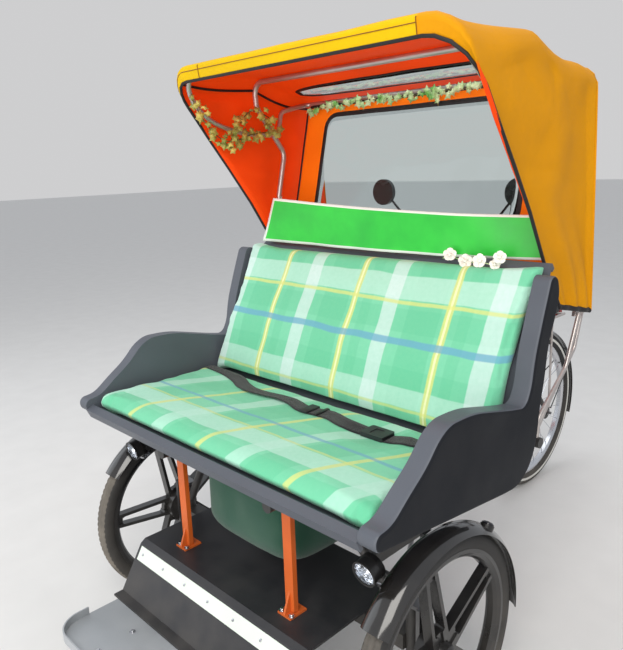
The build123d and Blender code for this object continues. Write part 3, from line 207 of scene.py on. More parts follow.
def fine_grain_group() -> NodeTree:
    """Builds the moulded or sprayed grain: a fine height and a slow mottling mask."""
    graph, start, end = new_group(
        "fine_grain", {"Place": (VECTOR, None), "Scale": (FLOAT, 600.0)}, {"Height": FLOAT, "Mottle": FLOAT}
    )
    place, scale = start.outputs["Place"], start.outputs["Scale"]
    graph.join(graph.noise(place, scale, detail=3), end.inputs["Height"])
    graph.join(graph.noise(place, 7, detail=5), end.inputs["Mottle"])
    return graph.tree


def cloth_weave_group() -> NodeTree:
    """Builds a plain weave: crossing threads as height, with uneven threads as a shade mask."""
    graph, start, end = new_group(
        "cloth_weave", {"Place": (VECTOR, None), "Threads": (FLOAT, 700.0)}, {"Height": FLOAT, "Shade": FLOAT}
    )
    parts = graph.split(start.outputs["Place"])
    runs = []
    for axis in (0, 2):
        mixed = graph.math("ADD", parts[axis], graph.math("MULTIPLY", parts[1], 0.9))
        turns = graph.math("MULTIPLY", mixed, start.outputs["Threads"])
        runs.append(graph.math("SINE", graph.math("MULTIPLY", turns, math.tau)))
    graph.join(graph.math("MULTIPLY", *runs), end.inputs["Height"])
    graph.join(graph.noise(start.outputs["Place"], 90, detail=4), end.inputs["Shade"])
    return graph.tree


def settled_dust_group() -> NodeTree:
    """Builds road dust: thick at a low height, thin at a high one, broken up by noise."""
    graph, start, end = new_group(
        "settled_dust",
        {"Place": (VECTOR, None), "Clean": (COLOUR, (0.1, 0.1, 0.1, 1)), "Dust": (COLOUR, rgb(150, 142, 130)),
         "Low": (FLOAT, 0.0), "High": (FLOAT, 0.8), "Amount": (FLOAT, 0.4)},
        {"Color": COLOUR, "Mask": FLOAT},
    )
    place = start.outputs["Place"]
    fade = graph.add("ShaderNodeMapRange")
    graph.join(graph.split(place)[2], fade.inputs["Value"])
    graph.join(start.outputs["Low"], fade.inputs["From Max"])
    graph.join(start.outputs["High"], fade.inputs["From Min"])
    broken = graph.spread(graph.noise(place, 14, detail=8), 0.3, 0.72)
    even = graph.math("ADD", graph.math("MULTIPLY", broken, 0.7), 0.3)
    mask = graph.math("MULTIPLY", graph.math("MULTIPLY", fade.outputs[0], even), start.outputs["Amount"])
    graph.join(graph.blend(mask, start.outputs["Clean"], start.outputs["Dust"]), end.inputs["Color"])
    graph.join(mask, end.inputs["Mask"])
    return graph.tree


def stripe_group() -> NodeTree:
    """Builds one family of woven stripes: a mask that is 1 near each repeat of a centre line."""
    graph, start, end = new_group(
        "woven_stripe",
        {"Across": (FLOAT, 0.0), "Centre": (FLOAT, 0.0), "Repeat": (FLOAT, 1.0), "Half width": (FLOAT, 0.01),
         "Edge": (FLOAT, 0.003)},
        {"Mask": FLOAT},
    )
    shifted = graph.math("SUBTRACT", start.outputs["Across"], start.outputs["Centre"])
    turns = graph.math("ADD", graph.math("DIVIDE", shifted, start.outputs["Repeat"]), 0.5)
    part = graph.math("SUBTRACT", graph.math("FRACT", turns), 0.5)
    away = graph.math("MULTIPLY", graph.math("ABSOLUTE", part), start.outputs["Repeat"])
    inside = graph.math("SUBTRACT", start.outputs["Half width"], away)
    soft = graph.math("ADD", graph.math("DIVIDE", inside, start.outputs["Edge"]), 0.5)
    node = graph.add("ShaderNodeClamp")
    graph.join(soft, node.inputs[0])
    graph.join(node.outputs[0], end.inputs["Mask"])
    return graph.tree


GRAIN = fine_grain_group()
WEAVE = cloth_weave_group()
DUST = settled_dust_group()
STRIPE = stripe_group()


# Finishes


class Surface:
    """One material under construction: its graph, its shader and its place on the object."""

    def __init__(self, name: str) -> None:
        """Starts a material with a Principled shader."""
        self.material = bpy.data.materials.new(name)
        self.material.use_nodes = True
        self.graph = Graph(self.material.node_tree)
        self.shader = self.material.node_tree.nodes["Principled BSDF"]
        self.place = self.graph.add("ShaderNodeTexCoord").outputs["Object"]

    def set(self, **values: object) -> None:
        """Sets sockets of the shader, given with spaces as underscores."""
        for key, value in values.items():
            self.shader.inputs[key.replace("_", " ")].default_value = value

    def feed(self, name: str, source: Socket) -> None:
        """Links an output to one of the shader's sockets."""
        self.graph.join(source, self.shader.inputs[name])

    def bump(self, height: Socket, distance: float, strength: float = 1.0) -> None:
        """Raises the surface by a height in metres."""
        node = self.graph.add("ShaderNodeBump")
        node.inputs["Distance"].default_value = distance
        node.inputs["Strength"].default_value = strength
        self.graph.join(height, node.inputs["Height"])
        self.feed("Normal", node.outputs[0])

    def mottle(self, scale: float, low: float, high: float) -> tuple[Node, Socket]:
        """Adds the grain at a scale and returns it with its mottling mask, stretched between two limits."""
        grain = self.graph.group(GRAIN, Place=self.place, Scale=scale)
        return grain, self.graph.spread(grain.outputs["Mottle"], low, high)

    def dust(self, clean: Socket, amount: float, top: float) -> Node:
        """Lays road dust up to a height over a colour."""
        return self.graph.group(DUST, Place=self.place, Clean=clean, High=top, Amount=amount)


@dataclass(frozen=True)
class Finish:
    """A named finish; each kind sets up its own shader."""

    name: str

    def paint(self, work: Surface) -> None:
        """Sets up the shader."""
        raise NotImplementedError

    def make(self) -> Material:
        """Builds the material."""
        work = Surface(self.name)
        self.paint(work)
        return work.material


@dataclass(frozen=True)
class SolidFinish(Finish):
    """A painted, moulded or metal finish with grain, mottling and road dust."""

    colour: Colour
    roughness: float = 0.45
    metallic: float = 0.0
    grain: float = 500.0
    depth: float = 0.0001
    mottle: float = 0.12
    dust: float = 0.0
    dust_top: float = 0.8
    coat: float = 0.0
    shine: float = 0.5

    def paint(self, work: Surface) -> None:
        """Sets up grained paint, plastic or metal."""
        grain, shade = work.mottle(self.grain, 0.3, 0.7)
        dark, light = toned(self.colour, 1 - self.mottle), toned(self.colour, 1 + self.mottle)
        colour = work.graph.blend(shade, dark, light)
        rough = work.graph.range(shade, max(0.03, self.roughness - 0.08), min(1.0, self.roughness + 0.1))
        if self.dust:
            dust = work.dust(colour, self.dust, self.dust_top)
            colour = dust.outputs["Color"]
            rough = work.graph.math("ADD", rough, work.graph.math("MULTIPLY", dust.outputs["Mask"], 0.4))
        work.feed("Base Color", colour)
        work.feed("Roughness", rough)
        work.set(Metallic=self.metallic, Specular_IOR_Level=self.shine)
        work.set(Coat_Weight=self.coat, Coat_Roughness=0.08)
        work.bump(grain.outputs["Height"], self.depth)


@dataclass(frozen=True)
class ClothFinish(Finish):
    """Coated or plain cloth in one colour, with its weave and uneven threads."""

    colour: Colour
    threads: float = 900.0
    depth: float = 0.00018
    roughness: float = 0.62
    sheen: float = 0.15
    fade: float = 0.1
    dust: float = 0.0
    dust_top: float = 0.9
    painted_glow: float = 0.0

    def paint(self, work: Surface) -> None:
        """Sets up woven cloth."""
        weave = work.graph.group(WEAVE, Place=work.place, Threads=self.threads)
        shade = work.mottle(40.0, 0.25, 0.75)[1]
        dark, light = toned(self.colour, 1 - self.fade), toned(self.colour, 1 + self.fade * 0.7)
        colour = work.graph.blend(shade, dark, light)
        thread = work.graph.spread(weave.outputs["Shade"], 0.35, 0.65)
        colour = work.graph.blend(work.graph.math("MULTIPLY", thread, 0.35), colour, toned(self.colour, 0.9))
        if self.dust:
            colour = work.dust(colour, self.dust, self.dust_top).outputs["Color"]
        work.feed("Base Color", colour)
        work.feed("Roughness", work.graph.range(shade, self.roughness - 0.06, self.roughness + 0.08))
        work.set(Sheen_Weight=self.sheen, Sheen_Roughness=0.5, Specular_IOR_Level=0.15)
        # Emission is painted light: the cloth glows to stand in for daylight shining through it.
        if self.painted_glow:
            work.feed("Emission Color", colour)
            work.set(Emission_Strength=self.painted_glow)
        work.bump(weave.outputs["Height"], self.depth, 0.6)


class Way(Enum):
    """Which way a plaid stripe runs: along the seat's width, or up and down it."""

    ACROSS = "across"
    UP = "up"


@dataclass(frozen=True)
class PlaidStripe:
    """One family of plaid stripes."""

    way: Way
    centre: float
    repeat: float
    half_width: float
    colour: Colour
    strength: float


@dataclass(frozen=True)
class PlaidFinish(Finish):
    """The seat cover's woven plaid: soft stripes both ways over mint green."""

    base: Colour
    stripes: tuple[PlaidStripe, ...]
    skew: float = 0.0
    depth_axis: int = 2

    def paint(self, work: Surface) -> None:
        """Sets up the woven plaid."""
        graph = work.graph
        drift = graph.math("MULTIPLY", graph.math("SUBTRACT", graph.noise(work.place, 5), 0.5), 0.018)
        parts = graph.split(work.place)
        depth = graph.math("ADD", parts[self.depth_axis], drift)
        from_axle = graph.math("SUBTRACT", depth, AXLE_Y if self.depth_axis == 1 else 0.0)
        width = graph.math("ADD", parts[0], drift)
        width = graph.math("SUBTRACT", width, graph.math("MULTIPLY", from_axle, self.skew))
        colour = self.base
        for stripe in self.stripes:
            across = width if stripe.way is Way.UP else from_axle
            mask = graph.group(
                STRIPE, Across=across, Centre=stripe.centre, Repeat=stripe.repeat, Half_width=stripe.half_width
            )
            strength = graph.math("MULTIPLY", mask.outputs[0], stripe.strength)
            colour = graph.blend(strength, colour, stripe.colour)
        weave = graph.group(WEAVE, Place=work.place, Threads=520.0)
        thread = graph.spread(weave.outputs["Shade"], 0.3, 0.7)
        colour = graph.blend(graph.math("MULTIPLY", thread, 0.12), colour, rgb(90, 190, 150))
        work.feed("Base Color", colour)
        work.feed("Roughness", graph.range(thread, 0.72, 0.88))
        work.set(Sheen_Weight=0.2, Sheen_Roughness=0.5)
        work.bump(weave.outputs["Height"], 0.0003, 0.5)


@dataclass(frozen=True)
class ClearFinish(Finish):
    """A clear sheet or lens, faintly wavy."""

    tint: Colour
    roughness: float = 0.04
    wave: float = 0.0006
    scale: float = 9.0

    def paint(self, work: Surface) -> None:
        """Sets up wavy clear plastic or glass."""
        work.set(Base_Color=self.tint, Roughness=self.roughness, Transmission_Weight=1.0, IOR=1.18)
        work.bump(work.graph.noise(work.place, self.scale), self.wave)


@dataclass(frozen=True)
class BannerFinish(Finish):
    """The blank banner: bright green inside a white border, by the sheet's own UV map."""

    def paint(self, work: Surface) -> None:
        """Sets up the banner's two colours."""
        graph = work.graph
        parts = graph.split(graph.add("ShaderNodeTexCoord").outputs["UV"])
        masks = []
        for axis, margin in ((0, 0.008), (1, 0.055)):
            away = graph.math("ABSOLUTE", graph.math("SUBTRACT", parts[axis], 0.5))
            masks.append(graph.spread(away, 0.5 - margin - 0.004, 0.5 - margin))
        border = graph.math("MAXIMUM", *masks)
        shade = work.mottle(60.0, 0.3, 0.7)[1]
        green = graph.blend(shade, rgb(28, 176, 52), rgb(48, 206, 62))
        work.feed("Base Color", graph.blend(border, green, rgb(236, 240, 232)))
        work.feed("Roughness", graph.range(shade, 0.34, 0.5))
        weave = graph.group(WEAVE, Place=work.place, Threads=600.0)
        work.bump(weave.outputs["Height"], 0.0001, 0.4)


@dataclass(frozen=True)
class LeafFinish(Finish):
    """Ivy leaves from green to yellowed, by place, with paler veins and a faint glow that is painted light."""

    fresh: Colour
    aged: Colour

    def paint(self, work: Surface) -> None:
        """Sets up the leaves' colours and veins."""
        graph = work.graph
        patch = graph.noise(work.place, 22)
        vein = graph.add("ShaderNodeTexVoronoi", feature="DISTANCE_TO_EDGE")
        vein.inputs["Scale"].default_value = 160
        graph.join(work.place, vein.inputs["Vector"])
        colour = graph.blend(graph.spread(patch, 0.38, 0.66), self.fresh, self.aged)
        lines = graph.math("MULTIPLY", graph.spread(vein.outputs[0], 0.08, 0.0), 0.4)
        colour = graph.blend(lines, colour, rgb(205, 214, 150))
        work.feed("Base Color", colour)
        # Emission is painted light: the leaves glow faintly so they look lit where they sit in shade.
        work.feed("Emission Color", colour)
        work.set(Emission_Strength=0.14)
        work.feed("Roughness", graph.range(patch, 0.4, 0.62))
        work.bump(vein.outputs[0], 0.0005)


MINT = rgb(122, 206, 166)
DEEP = rgb(92, 190, 144)
PALE = rgb(184, 226, 208)
WHITE = rgb(226, 236, 238)
LEMON = rgb(214, 218, 120)
BLUE = rgb(98, 160, 192)
PLAID_REPEAT = 0.33


def stripes(across_repeat: float, *rows: tuple[Way, float, float, Colour, float]) -> tuple[PlaidStripe, ...]:
    """Makes the stripes of a plaid.

    Args:
        across_repeat: How far apart the stripes along the width repeat; those up and down share PLAID_REPEAT.
        rows: Way, centre, half width, colour and strength of each.

    Returns:
        The stripes.
    """
    return tuple(
        PlaidStripe(way, centre, PLAID_REPEAT if way is Way.UP else across_repeat, half, colour, strength)
        for way, centre, half, colour, strength in rows
    )


BACK_STRIPES = stripes(
    9.0,
    (Way.UP, 0.265, 0.052, DEEP, 0.5), (Way.UP, 0.060, 0.018, DEEP, 0.35),
    (Way.ACROSS, 0.985, 0.030, DEEP, 0.4), (Way.ACROSS, 0.842, 0.026, DEEP, 0.35),
    (Way.ACROSS, 1.125, 0.026, DEEP, 0.35), (Way.ACROSS, 1.068, 0.030, PALE, 0.75),
    (Way.ACROSS, 0.797, 0.024, PALE, 0.65), (Way.UP, 0.146, 0.026, WHITE, 0.55),
    (Way.UP, 0.010, 0.0105, LEMON, 0.85), (Way.UP, 0.010, 0.003, rgb(246, 246, 200), 0.7),
    (Way.ACROSS, 1.030, 0.0045, LEMON, 0.75), (Way.ACROSS, 0.768, 0.004, LEMON, 0.6),
    (Way.ACROSS, 0.930, 0.0085, BLUE, 0.8),
)
SEAT_STRIPES = stripes(
    0.5,
    (Way.UP, 0.330, 0.050, DEEP, 0.55), (Way.ACROSS, -0.245, 0.040, DEEP, 0.5),
    (Way.ACROSS, 0.030, 0.035, DEEP, 0.4), (Way.ACROSS, -0.150, 0.032, PALE, 0.7),
    (Way.UP, 0.235, 0.028, PALE, 0.65), (Way.UP, 0.092, 0.009, LEMON, 0.75),
    (Way.ACROSS, -0.112, 0.004, LEMON, 0.55), (Way.ACROSS, -0.056, 0.006, BLUE, 0.7),
    (Way.ACROSS, -0.296, 0.004, BLUE, 0.35),
)


class Paintbox:
    """Every finish of the rickshaw, built once."""

    def __init__(self) -> None:
        """Builds all materials."""
        finishes = (
            SolidFinish("shell_plastic", rgb(84, 88, 96), 0.45, 0.0, 420.0, 0.00016, 0.06, shine=0.35),
            # A darker copy of the shell plastic for the outward side faces: painted shade.
            SolidFinish("shell_dark", rgb(26, 28, 33), 0.6, 0.0, 420.0, 0.00016, 0.06, shine=0.18),
            SolidFinish("frame_black", rgb(30, 31, 34), 0.4, dust=0.25, dust_top=0.9),
            SolidFinish("leg_orange", rgb(205, 92, 22), 0.35, dust=0.2, dust_top=0.6),
            SolidFinish("footplate_grey", rgb(168, 172, 176), 0.5, 0.35, 220.0, 0.0003, 0.14, 0.3, 0.35),
            SolidFinish("toe_board_black", rgb(36, 37, 42), 0.45, dust=0.3, dust_top=0.42),
            SolidFinish("strip_white", rgb(222, 232, 220), 0.4, mottle=0.05, dust=0.1, dust_top=0.5),
            SolidFinish("tube_steel", rgb(196, 188, 184), 0.4, 0.85, 900.0, 0.00003, 0.08),
            SolidFinish("machined_steel", rgb(128, 128, 130), 0.35, 1.0, 800.0, 0.00005, 0.15, 0.35, 0.5),
            SolidFinish("bright_bolt", rgb(205, 205, 208), 0.22, 1.0, 700.0, 0.00003, 0.1),
            SolidFinish("wheel_black", rgb(20, 20, 22), 0.3, 0.0, 500.0, 0.00008, 0.1, 0.18, 0.5, 0.3),
            SolidFinish("fender_black", rgb(14, 13, 15), 0.12, 0.0, 300.0, 0.00002, 0.1, 0.22, 0.75, 0.8),
            SolidFinish("rim_silver", rgb(205, 206, 210), 0.2, 1.0, 600.0, 0.00003, 0.08),
            SolidFinish("lamp_black", rgb(22, 22, 24), 0.3, grain=600.0, mottle=0.05, dust=0.15),
            SolidFinish("reflector", rgb(230, 232, 236), 0.08, 1.0, 300.0, 0.0002, 0.05),
            SolidFinish("motor_grey", rgb(62, 63, 66), 0.45, 0.6, 350.0, 0.0003, 0.12, 0.4, 0.6),
            SolidFinish("case_black", rgb(34, 35, 38), 0.5, grain=380.0, depth=0.0002),
            SolidFinish("lens_red", rgb(150, 16, 14), 0.15, grain=120.0, depth=0.0006, mottle=0.15),
            SolidFinish("lens_smoke", rgb(26, 24, 30), 0.12, grain=200.0, depth=0.0003),
            SolidFinish("grip_rubber", rgb(26, 26, 27), 0.78, grain=420.0, depth=0.0004),
            SolidFinish("tread_rubber", rgb(62, 60, 58), 0.85, 0.0, 260.0, 0.0006, dust=0.75, dust_top=1.1),
            SolidFinish("side_rubber", rgb(30, 30, 31), 0.7, grain=300.0, depth=0.0003, dust=0.3, dust_top=0.6),
            SolidFinish("saddle_hide", rgb(28, 27, 28), 0.55, grain=260.0, depth=0.0005, mottle=0.15),
            SolidFinish("mirror_face", rgb(235, 238, 240), 0.03, 1.0, 80.0, 0.00002, 0.02),
            SolidFinish("piping_black", rgb(22, 19, 22), 0.6, grain=700.0, depth=0.0003),
            SolidFinish("reflective_line", rgb(214, 212, 204), 0.35, grain=500.0),
            SolidFinish("vine_brown", rgb(96, 86, 46), 0.7, grain=300.0, depth=0.0005, mottle=0.3),
            SolidFinish("petal_white", rgb(238, 236, 226), 0.55, grain=120.0, depth=0.0006, mottle=0.08),
            ClothFinish("hood_amber", rgb(222, 150, 0), fade=0.1, sheen=0.0),
            # The valance's brighter yellow is a lit copy of the amber hood cloth: painted light from daylight
            # on and through the valance.
            ClothFinish("hood_yellow", rgb(226, 184, 0), fade=0.09, sheen=0.0),
            # The lining's orange-red is its own colour, made brighter, and its glow is painted light: both
            # stand in for daylight through the hood.
            ClothFinish("lining_orange", rgb(232, 66, 8), fade=0.14, roughness=0.6, sheen=0.0, painted_glow=0.3),
            # The rear panel's glow is painted light standing in for daylight through the cloth.
            ClothFinish("panel_orange", rgb(240, 112, 10), fade=0.1, sheen=0.0, painted_glow=0.25),
            # The bag's dark teal green is painted shade: the colour of the shadow under the seat, given to the
            # cloth.
            ClothFinish("bag_green", rgb(20, 78, 58), 420.0, 0.0005, 0.8, 0.25, 0.2, 0.15),
            ClothFinish("belt_webbing", rgb(30, 29, 32), 700.0, 0.0006, 0.6, 0.2, 0.1),
            ClothFinish("thread_dark", rgb(132, 78, 10)),
            ClearFinish("clear_sheet", rgb(226, 236, 234)),
            ClearFinish("lamp_glass", rgb(236, 240, 244), 0.02, 0.004, 70.0),
            BannerFinish("banner_green"),
            LeafFinish("ivy_old", rgb(126, 130, 52), rgb(206, 178, 84)),
            LeafFinish("ivy_fresh", rgb(96, 168, 74), rgb(222, 234, 188)),
            PlaidFinish("plaid_back", MINT, BACK_STRIPES),
            PlaidFinish("plaid_seat", MINT, SEAT_STRIPES, 0.5, 1),
        )
        self.materials = {finish.name: finish.make() for finish in finishes}

    def __getitem__(self, name: str) -> Material:
        """Gives a material by its finish's name."""
        return self.materials[name]


# Mesh helpers


def placed(name: str, data: bpy.types.ID) -> Object:
    """Makes an object of its data and links it to the scene."""
    made = bpy.data.objects.new(name, data)
    bpy.context.collection.objects.link(made)
    return made


def aimed(spot: Vector, way: Vector, ahead: str = "Z") -> Matrix:
    """Gives the matrix that stands at a spot with one of its axes along a direction."""
    return Matrix.Translation(spot) @ way.to_track_quat(ahead, "Y").to_matrix().to_4x4()


@dataclass
class Maker:
    """Turns meshes into pieces that ride on a body."""

    paint: Paintbox

    def piece(self, name: str, mesh: BMesh, finishes: list[str], slot: str, sharp: float = 40.0,
              weld: float = 0.0, body: str = "chassis") -> Object:
        """Makes an object of a bmesh.

        Args:
            name: The piece's name.
            mesh: The bmesh, which is freed.
            finishes: Finish names, in the order of the material indices.
            slot: Not used.
            sharp: The angle in degrees above which an edge shows.
            weld: The distance below which vertices are merged first.
            body: The body it rides on.

        Returns:
            The new object.
        """
        if weld:
            bmesh.ops.remove_doubles(mesh, verts=mesh.verts, dist=weld)
            bmesh.ops.recalc_face_normals(mesh, faces=mesh.faces)
        data = bpy.data.meshes.new(name)
        mesh.to_mesh(data)
        mesh.free()
        for finish in finishes:
            data.materials.append(self.paint[finish])
        data.shade_smooth()
        data.set_sharp_from_angle(angle=math.radians(sharp))
        made = placed(name, data)
        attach(made, body)
        return made

    def dress(self, nodes: dict[str, str]) -> None:
        """Gives CAD nodes their finishes.

        Args:
            nodes: Finish name by node name.
        """
        for node, finish in nodes.items():
            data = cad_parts[node].data
            data.materials.clear()
            data.materials.append(self.paint[finish])


def solidify(made: Object, thickness: float, offset: float = 0.0, inner: int = 0,
             rim: int = 0) -> None:
    """Gives a sheet its thickness, with material offsets for its inner face and its rim."""
    wall = made.modifiers.new("wall", "SOLIDIFY")
    wall.thickness = thickness
    wall.offset = offset
    wall.material_offset = inner
    wall.material_offset_rim = rim


def smooth_levels(made: Object, levels: int) -> None:
    """Adds a subdivision surface with equal view and render levels."""
    modifier = made.modifiers.new("smooth", "SUBSURF")
    modifier.levels = levels
    modifier.render_levels = levels


def along(points: Points, share: float) -> Vector:
    """Gives the point at a share of a polyline's length."""
    steps = [(b - a).length for a, b in zip(points, points[1:])]
    left = clamp(share) * sum(steps)
    for (a, b), step in zip(zip(points, points[1:]), steps):
        if left <= step or b is points[-1]:
            return a.lerp(b, min(1.0, left / step))
        left -= step
    return points[-1]


def smooth_line(points: Points, count: int, closed: bool = False) -> Points:
    """Samples a smooth spline through a few points.

    Args:
        points: The points it passes near.
        count: How many samples come back.
        closed: Whether it is a loop.

    Returns:
        The samples, evenly spread.
    """
    curve = bpy.data.curves.new("line", "CURVE")
    curve.dimensions = "3D"
    curve.resolution_u = 12
    spline = curve.splines.new("NURBS")
    spline.points.add(len(points) - 1)
    for slot, point in zip(spline.points, points):
        slot.co = (*point, 1)
    spline.order_u = 3
    spline.use_endpoint_u = not closed
    spline.use_cyclic_u = closed
    holder = bpy.data.objects.new("line", curve)
    data = bpy.data.meshes.new_from_object(holder)
    fine = [v.co.copy() for v in data.vertices]
    if closed:
        fine.append(fine[0].copy())
    bpy.data.objects.remove(holder)
    bpy.data.curves.remove(curve)
    bpy.data.meshes.remove(data)
    return [along(fine, i / (count if closed else count - 1)) for i in range(count)]


def ring_at(mesh: BMesh, centre: Vector, way: Vector, radius: float, sides: int,
            flat: float = 1.0, up: Vector | None = None) -> list[BMVert]:
    """Adds one open ring of vertices across a line.

    Args:
        mesh: The bmesh that gets the ring.
        centre: Its centre.
        way: The line's direction there.
        radius: Its radius.
        sides: How many vertices it has.
        flat: How much it is squeezed along the up direction.
        up: The direction that counts as up.

    Returns:
        Its vertices.
    """
    up = up or (Vector((0, 0, 1)) if abs(way.normalized().z) < 0.9 else Vector((0, 1, 0)))
    side = way.cross(up).normalized()
    top = side.cross(way).normalized()
    ring = bmesh.ops.create_circle(mesh, cap_ends=False, radius=radius, segments=sides)["verts"]
    place = Matrix((side, top * flat, way.normalized())).transposed().to_4x4()
    bmesh.ops.transform(mesh, matrix=Matrix.Translation(centre) @ place, verts=ring)
    return ring


def ring_edges(ring: list[BMVert]) -> list[BMEdge]:
    """Gives the edges that run round a ring of vertices."""
    inside = set(ring)
    return list({e for v in ring for e in v.link_edges if e.verts[0] in inside and e.verts[1] in inside})


def tube(mesh: BMesh, line: Points, radius: float, sides: int = 10, closed: bool = False,
         flat: float = 1.0, up: Vector | None = None, taper: float = 1.0) -> None:
    """Adds a round or flattened tube along a line.

    Args:
        mesh: The bmesh that gets the tube.
        line: Its middle line.
        radius: Its radius at the start.
        sides: How many sides it has.
        closed: Whether the line is a loop.
        flat: How much it is squeezed along the up direction.
        up: The direction that counts as up.
        taper: The share of the radius left at the end.
    """
    count = len(line)
    rings = []
    for i, centre in enumerate(line):
        before = line[i - 1] if closed or i else centre
        after = line[(i + 1) % count] if closed or i < count - 1 else centre
        size = radius * (1 + (taper - 1) * i / max(1, count - 1))
        rings.append(ring_at(mesh, centre, after - before, size, sides, flat, up))
    # Bridging the loops would let a ring turn against its neighbour, so each side is joined to its own.
    for first, second in zip(rings, rings[1:] + rings[:1] if closed else rings[1:]):
        for i in range(sides):
            j = (i + 1) % sides
            mesh.faces.new((first[i], first[j], second[j], second[i]))
    if not closed:
        for ring in (rings[0], rings[-1]):
            bmesh.ops.contextual_create(mesh, geom=ring_edges(ring))
    bmesh.ops.recalc_face_normals(mesh, faces=mesh.faces)


def spun(mesh: BMesh, outline: Outline, centre: Vector, axis: Vector, steps: int) -> None:
    """Turns an outline once round an axis.

    Args:
        mesh: The bmesh that gets the body.
        outline: Points as (along the axis, radius).
        centre: The point on the axis where the outline's zero lies.
        axis: The axis's direction.
        steps: How many steps the turn has.
    """
    axis = axis.normalized()
    out = axis.orthogonal().normalized()
    before = set(mesh.verts)
    row = [mesh.verts.new(centre + axis * a + out * r) for a, r in outline]
    edges = [mesh.edges.new(pair) for pair in zip(row, row[1:])]
    bmesh.ops.spin(
        mesh, geom=row + edges, cent=centre, axis=axis, angle=math.tau, steps=steps, use_merge=True
    )
    bmesh.ops.remove_doubles(mesh, verts=[v for v in mesh.verts if v not in before], dist=1e-6)
    fresh = {v for v in mesh.verts if v not in before}
    bmesh.ops.recalc_face_normals(mesh, faces=[f for f in mesh.faces if all(v in fresh for v in f.verts)])


def round_off(mesh: BMesh, edges: Iterable[BMEdge], offset: float, segments: int) -> None:
    """Bevels some edges."""
    bmesh.ops.bevel(
        mesh, geom=list(edges), offset=offset, affect="EDGES", segments=segments, profile=0.5, material=-1
    )


def bolt(mesh: BMesh, centre: Vector, way: Vector, radius: float, height: float) -> None:
    """Adds a hexagonal bolt head on its washer, with a domed top."""
    way = way.normalized()
    wide, thick = radius * 1.5, height * 0.25
    spun(mesh, [(0.0, 0.0), (0.0, wide), (thick, wide), (thick, 0.0)], centre, way, 16)
    head = bmesh.ops.create_cone(
        mesh, cap_ends=True, segments=6, radius1=radius, radius2=radius * 0.94, depth=height * 0.75,
        matrix=aimed(centre + way * height * 0.62, way),
    )["verts"]
    round_off(mesh, {e for v in head for e in v.link_edges}, radius * 0.12, 1)


def grid(mesh: BMesh, across: int, deep: int) -> list[BMVert]:
    """Adds a flat grid from -1 to 1 both ways."""
    return bmesh.ops.create_grid(mesh, x_segments=across, y_segments=deep, size=1.0)["verts"]


def ripple(point: Vector, scale: float, seed: float) -> float:
    """Gives smooth noise from -1 to 1 at a point."""
    return noise.noise(Vector((point.x * scale + seed, point.y * scale, point.z * scale)))


# Hood


class Kept(Enum):
    """Which of a cloth point's two shares a line keeps: the one across the hood or the one along it."""

    ACROSS = "a"
    ALONG = "b"


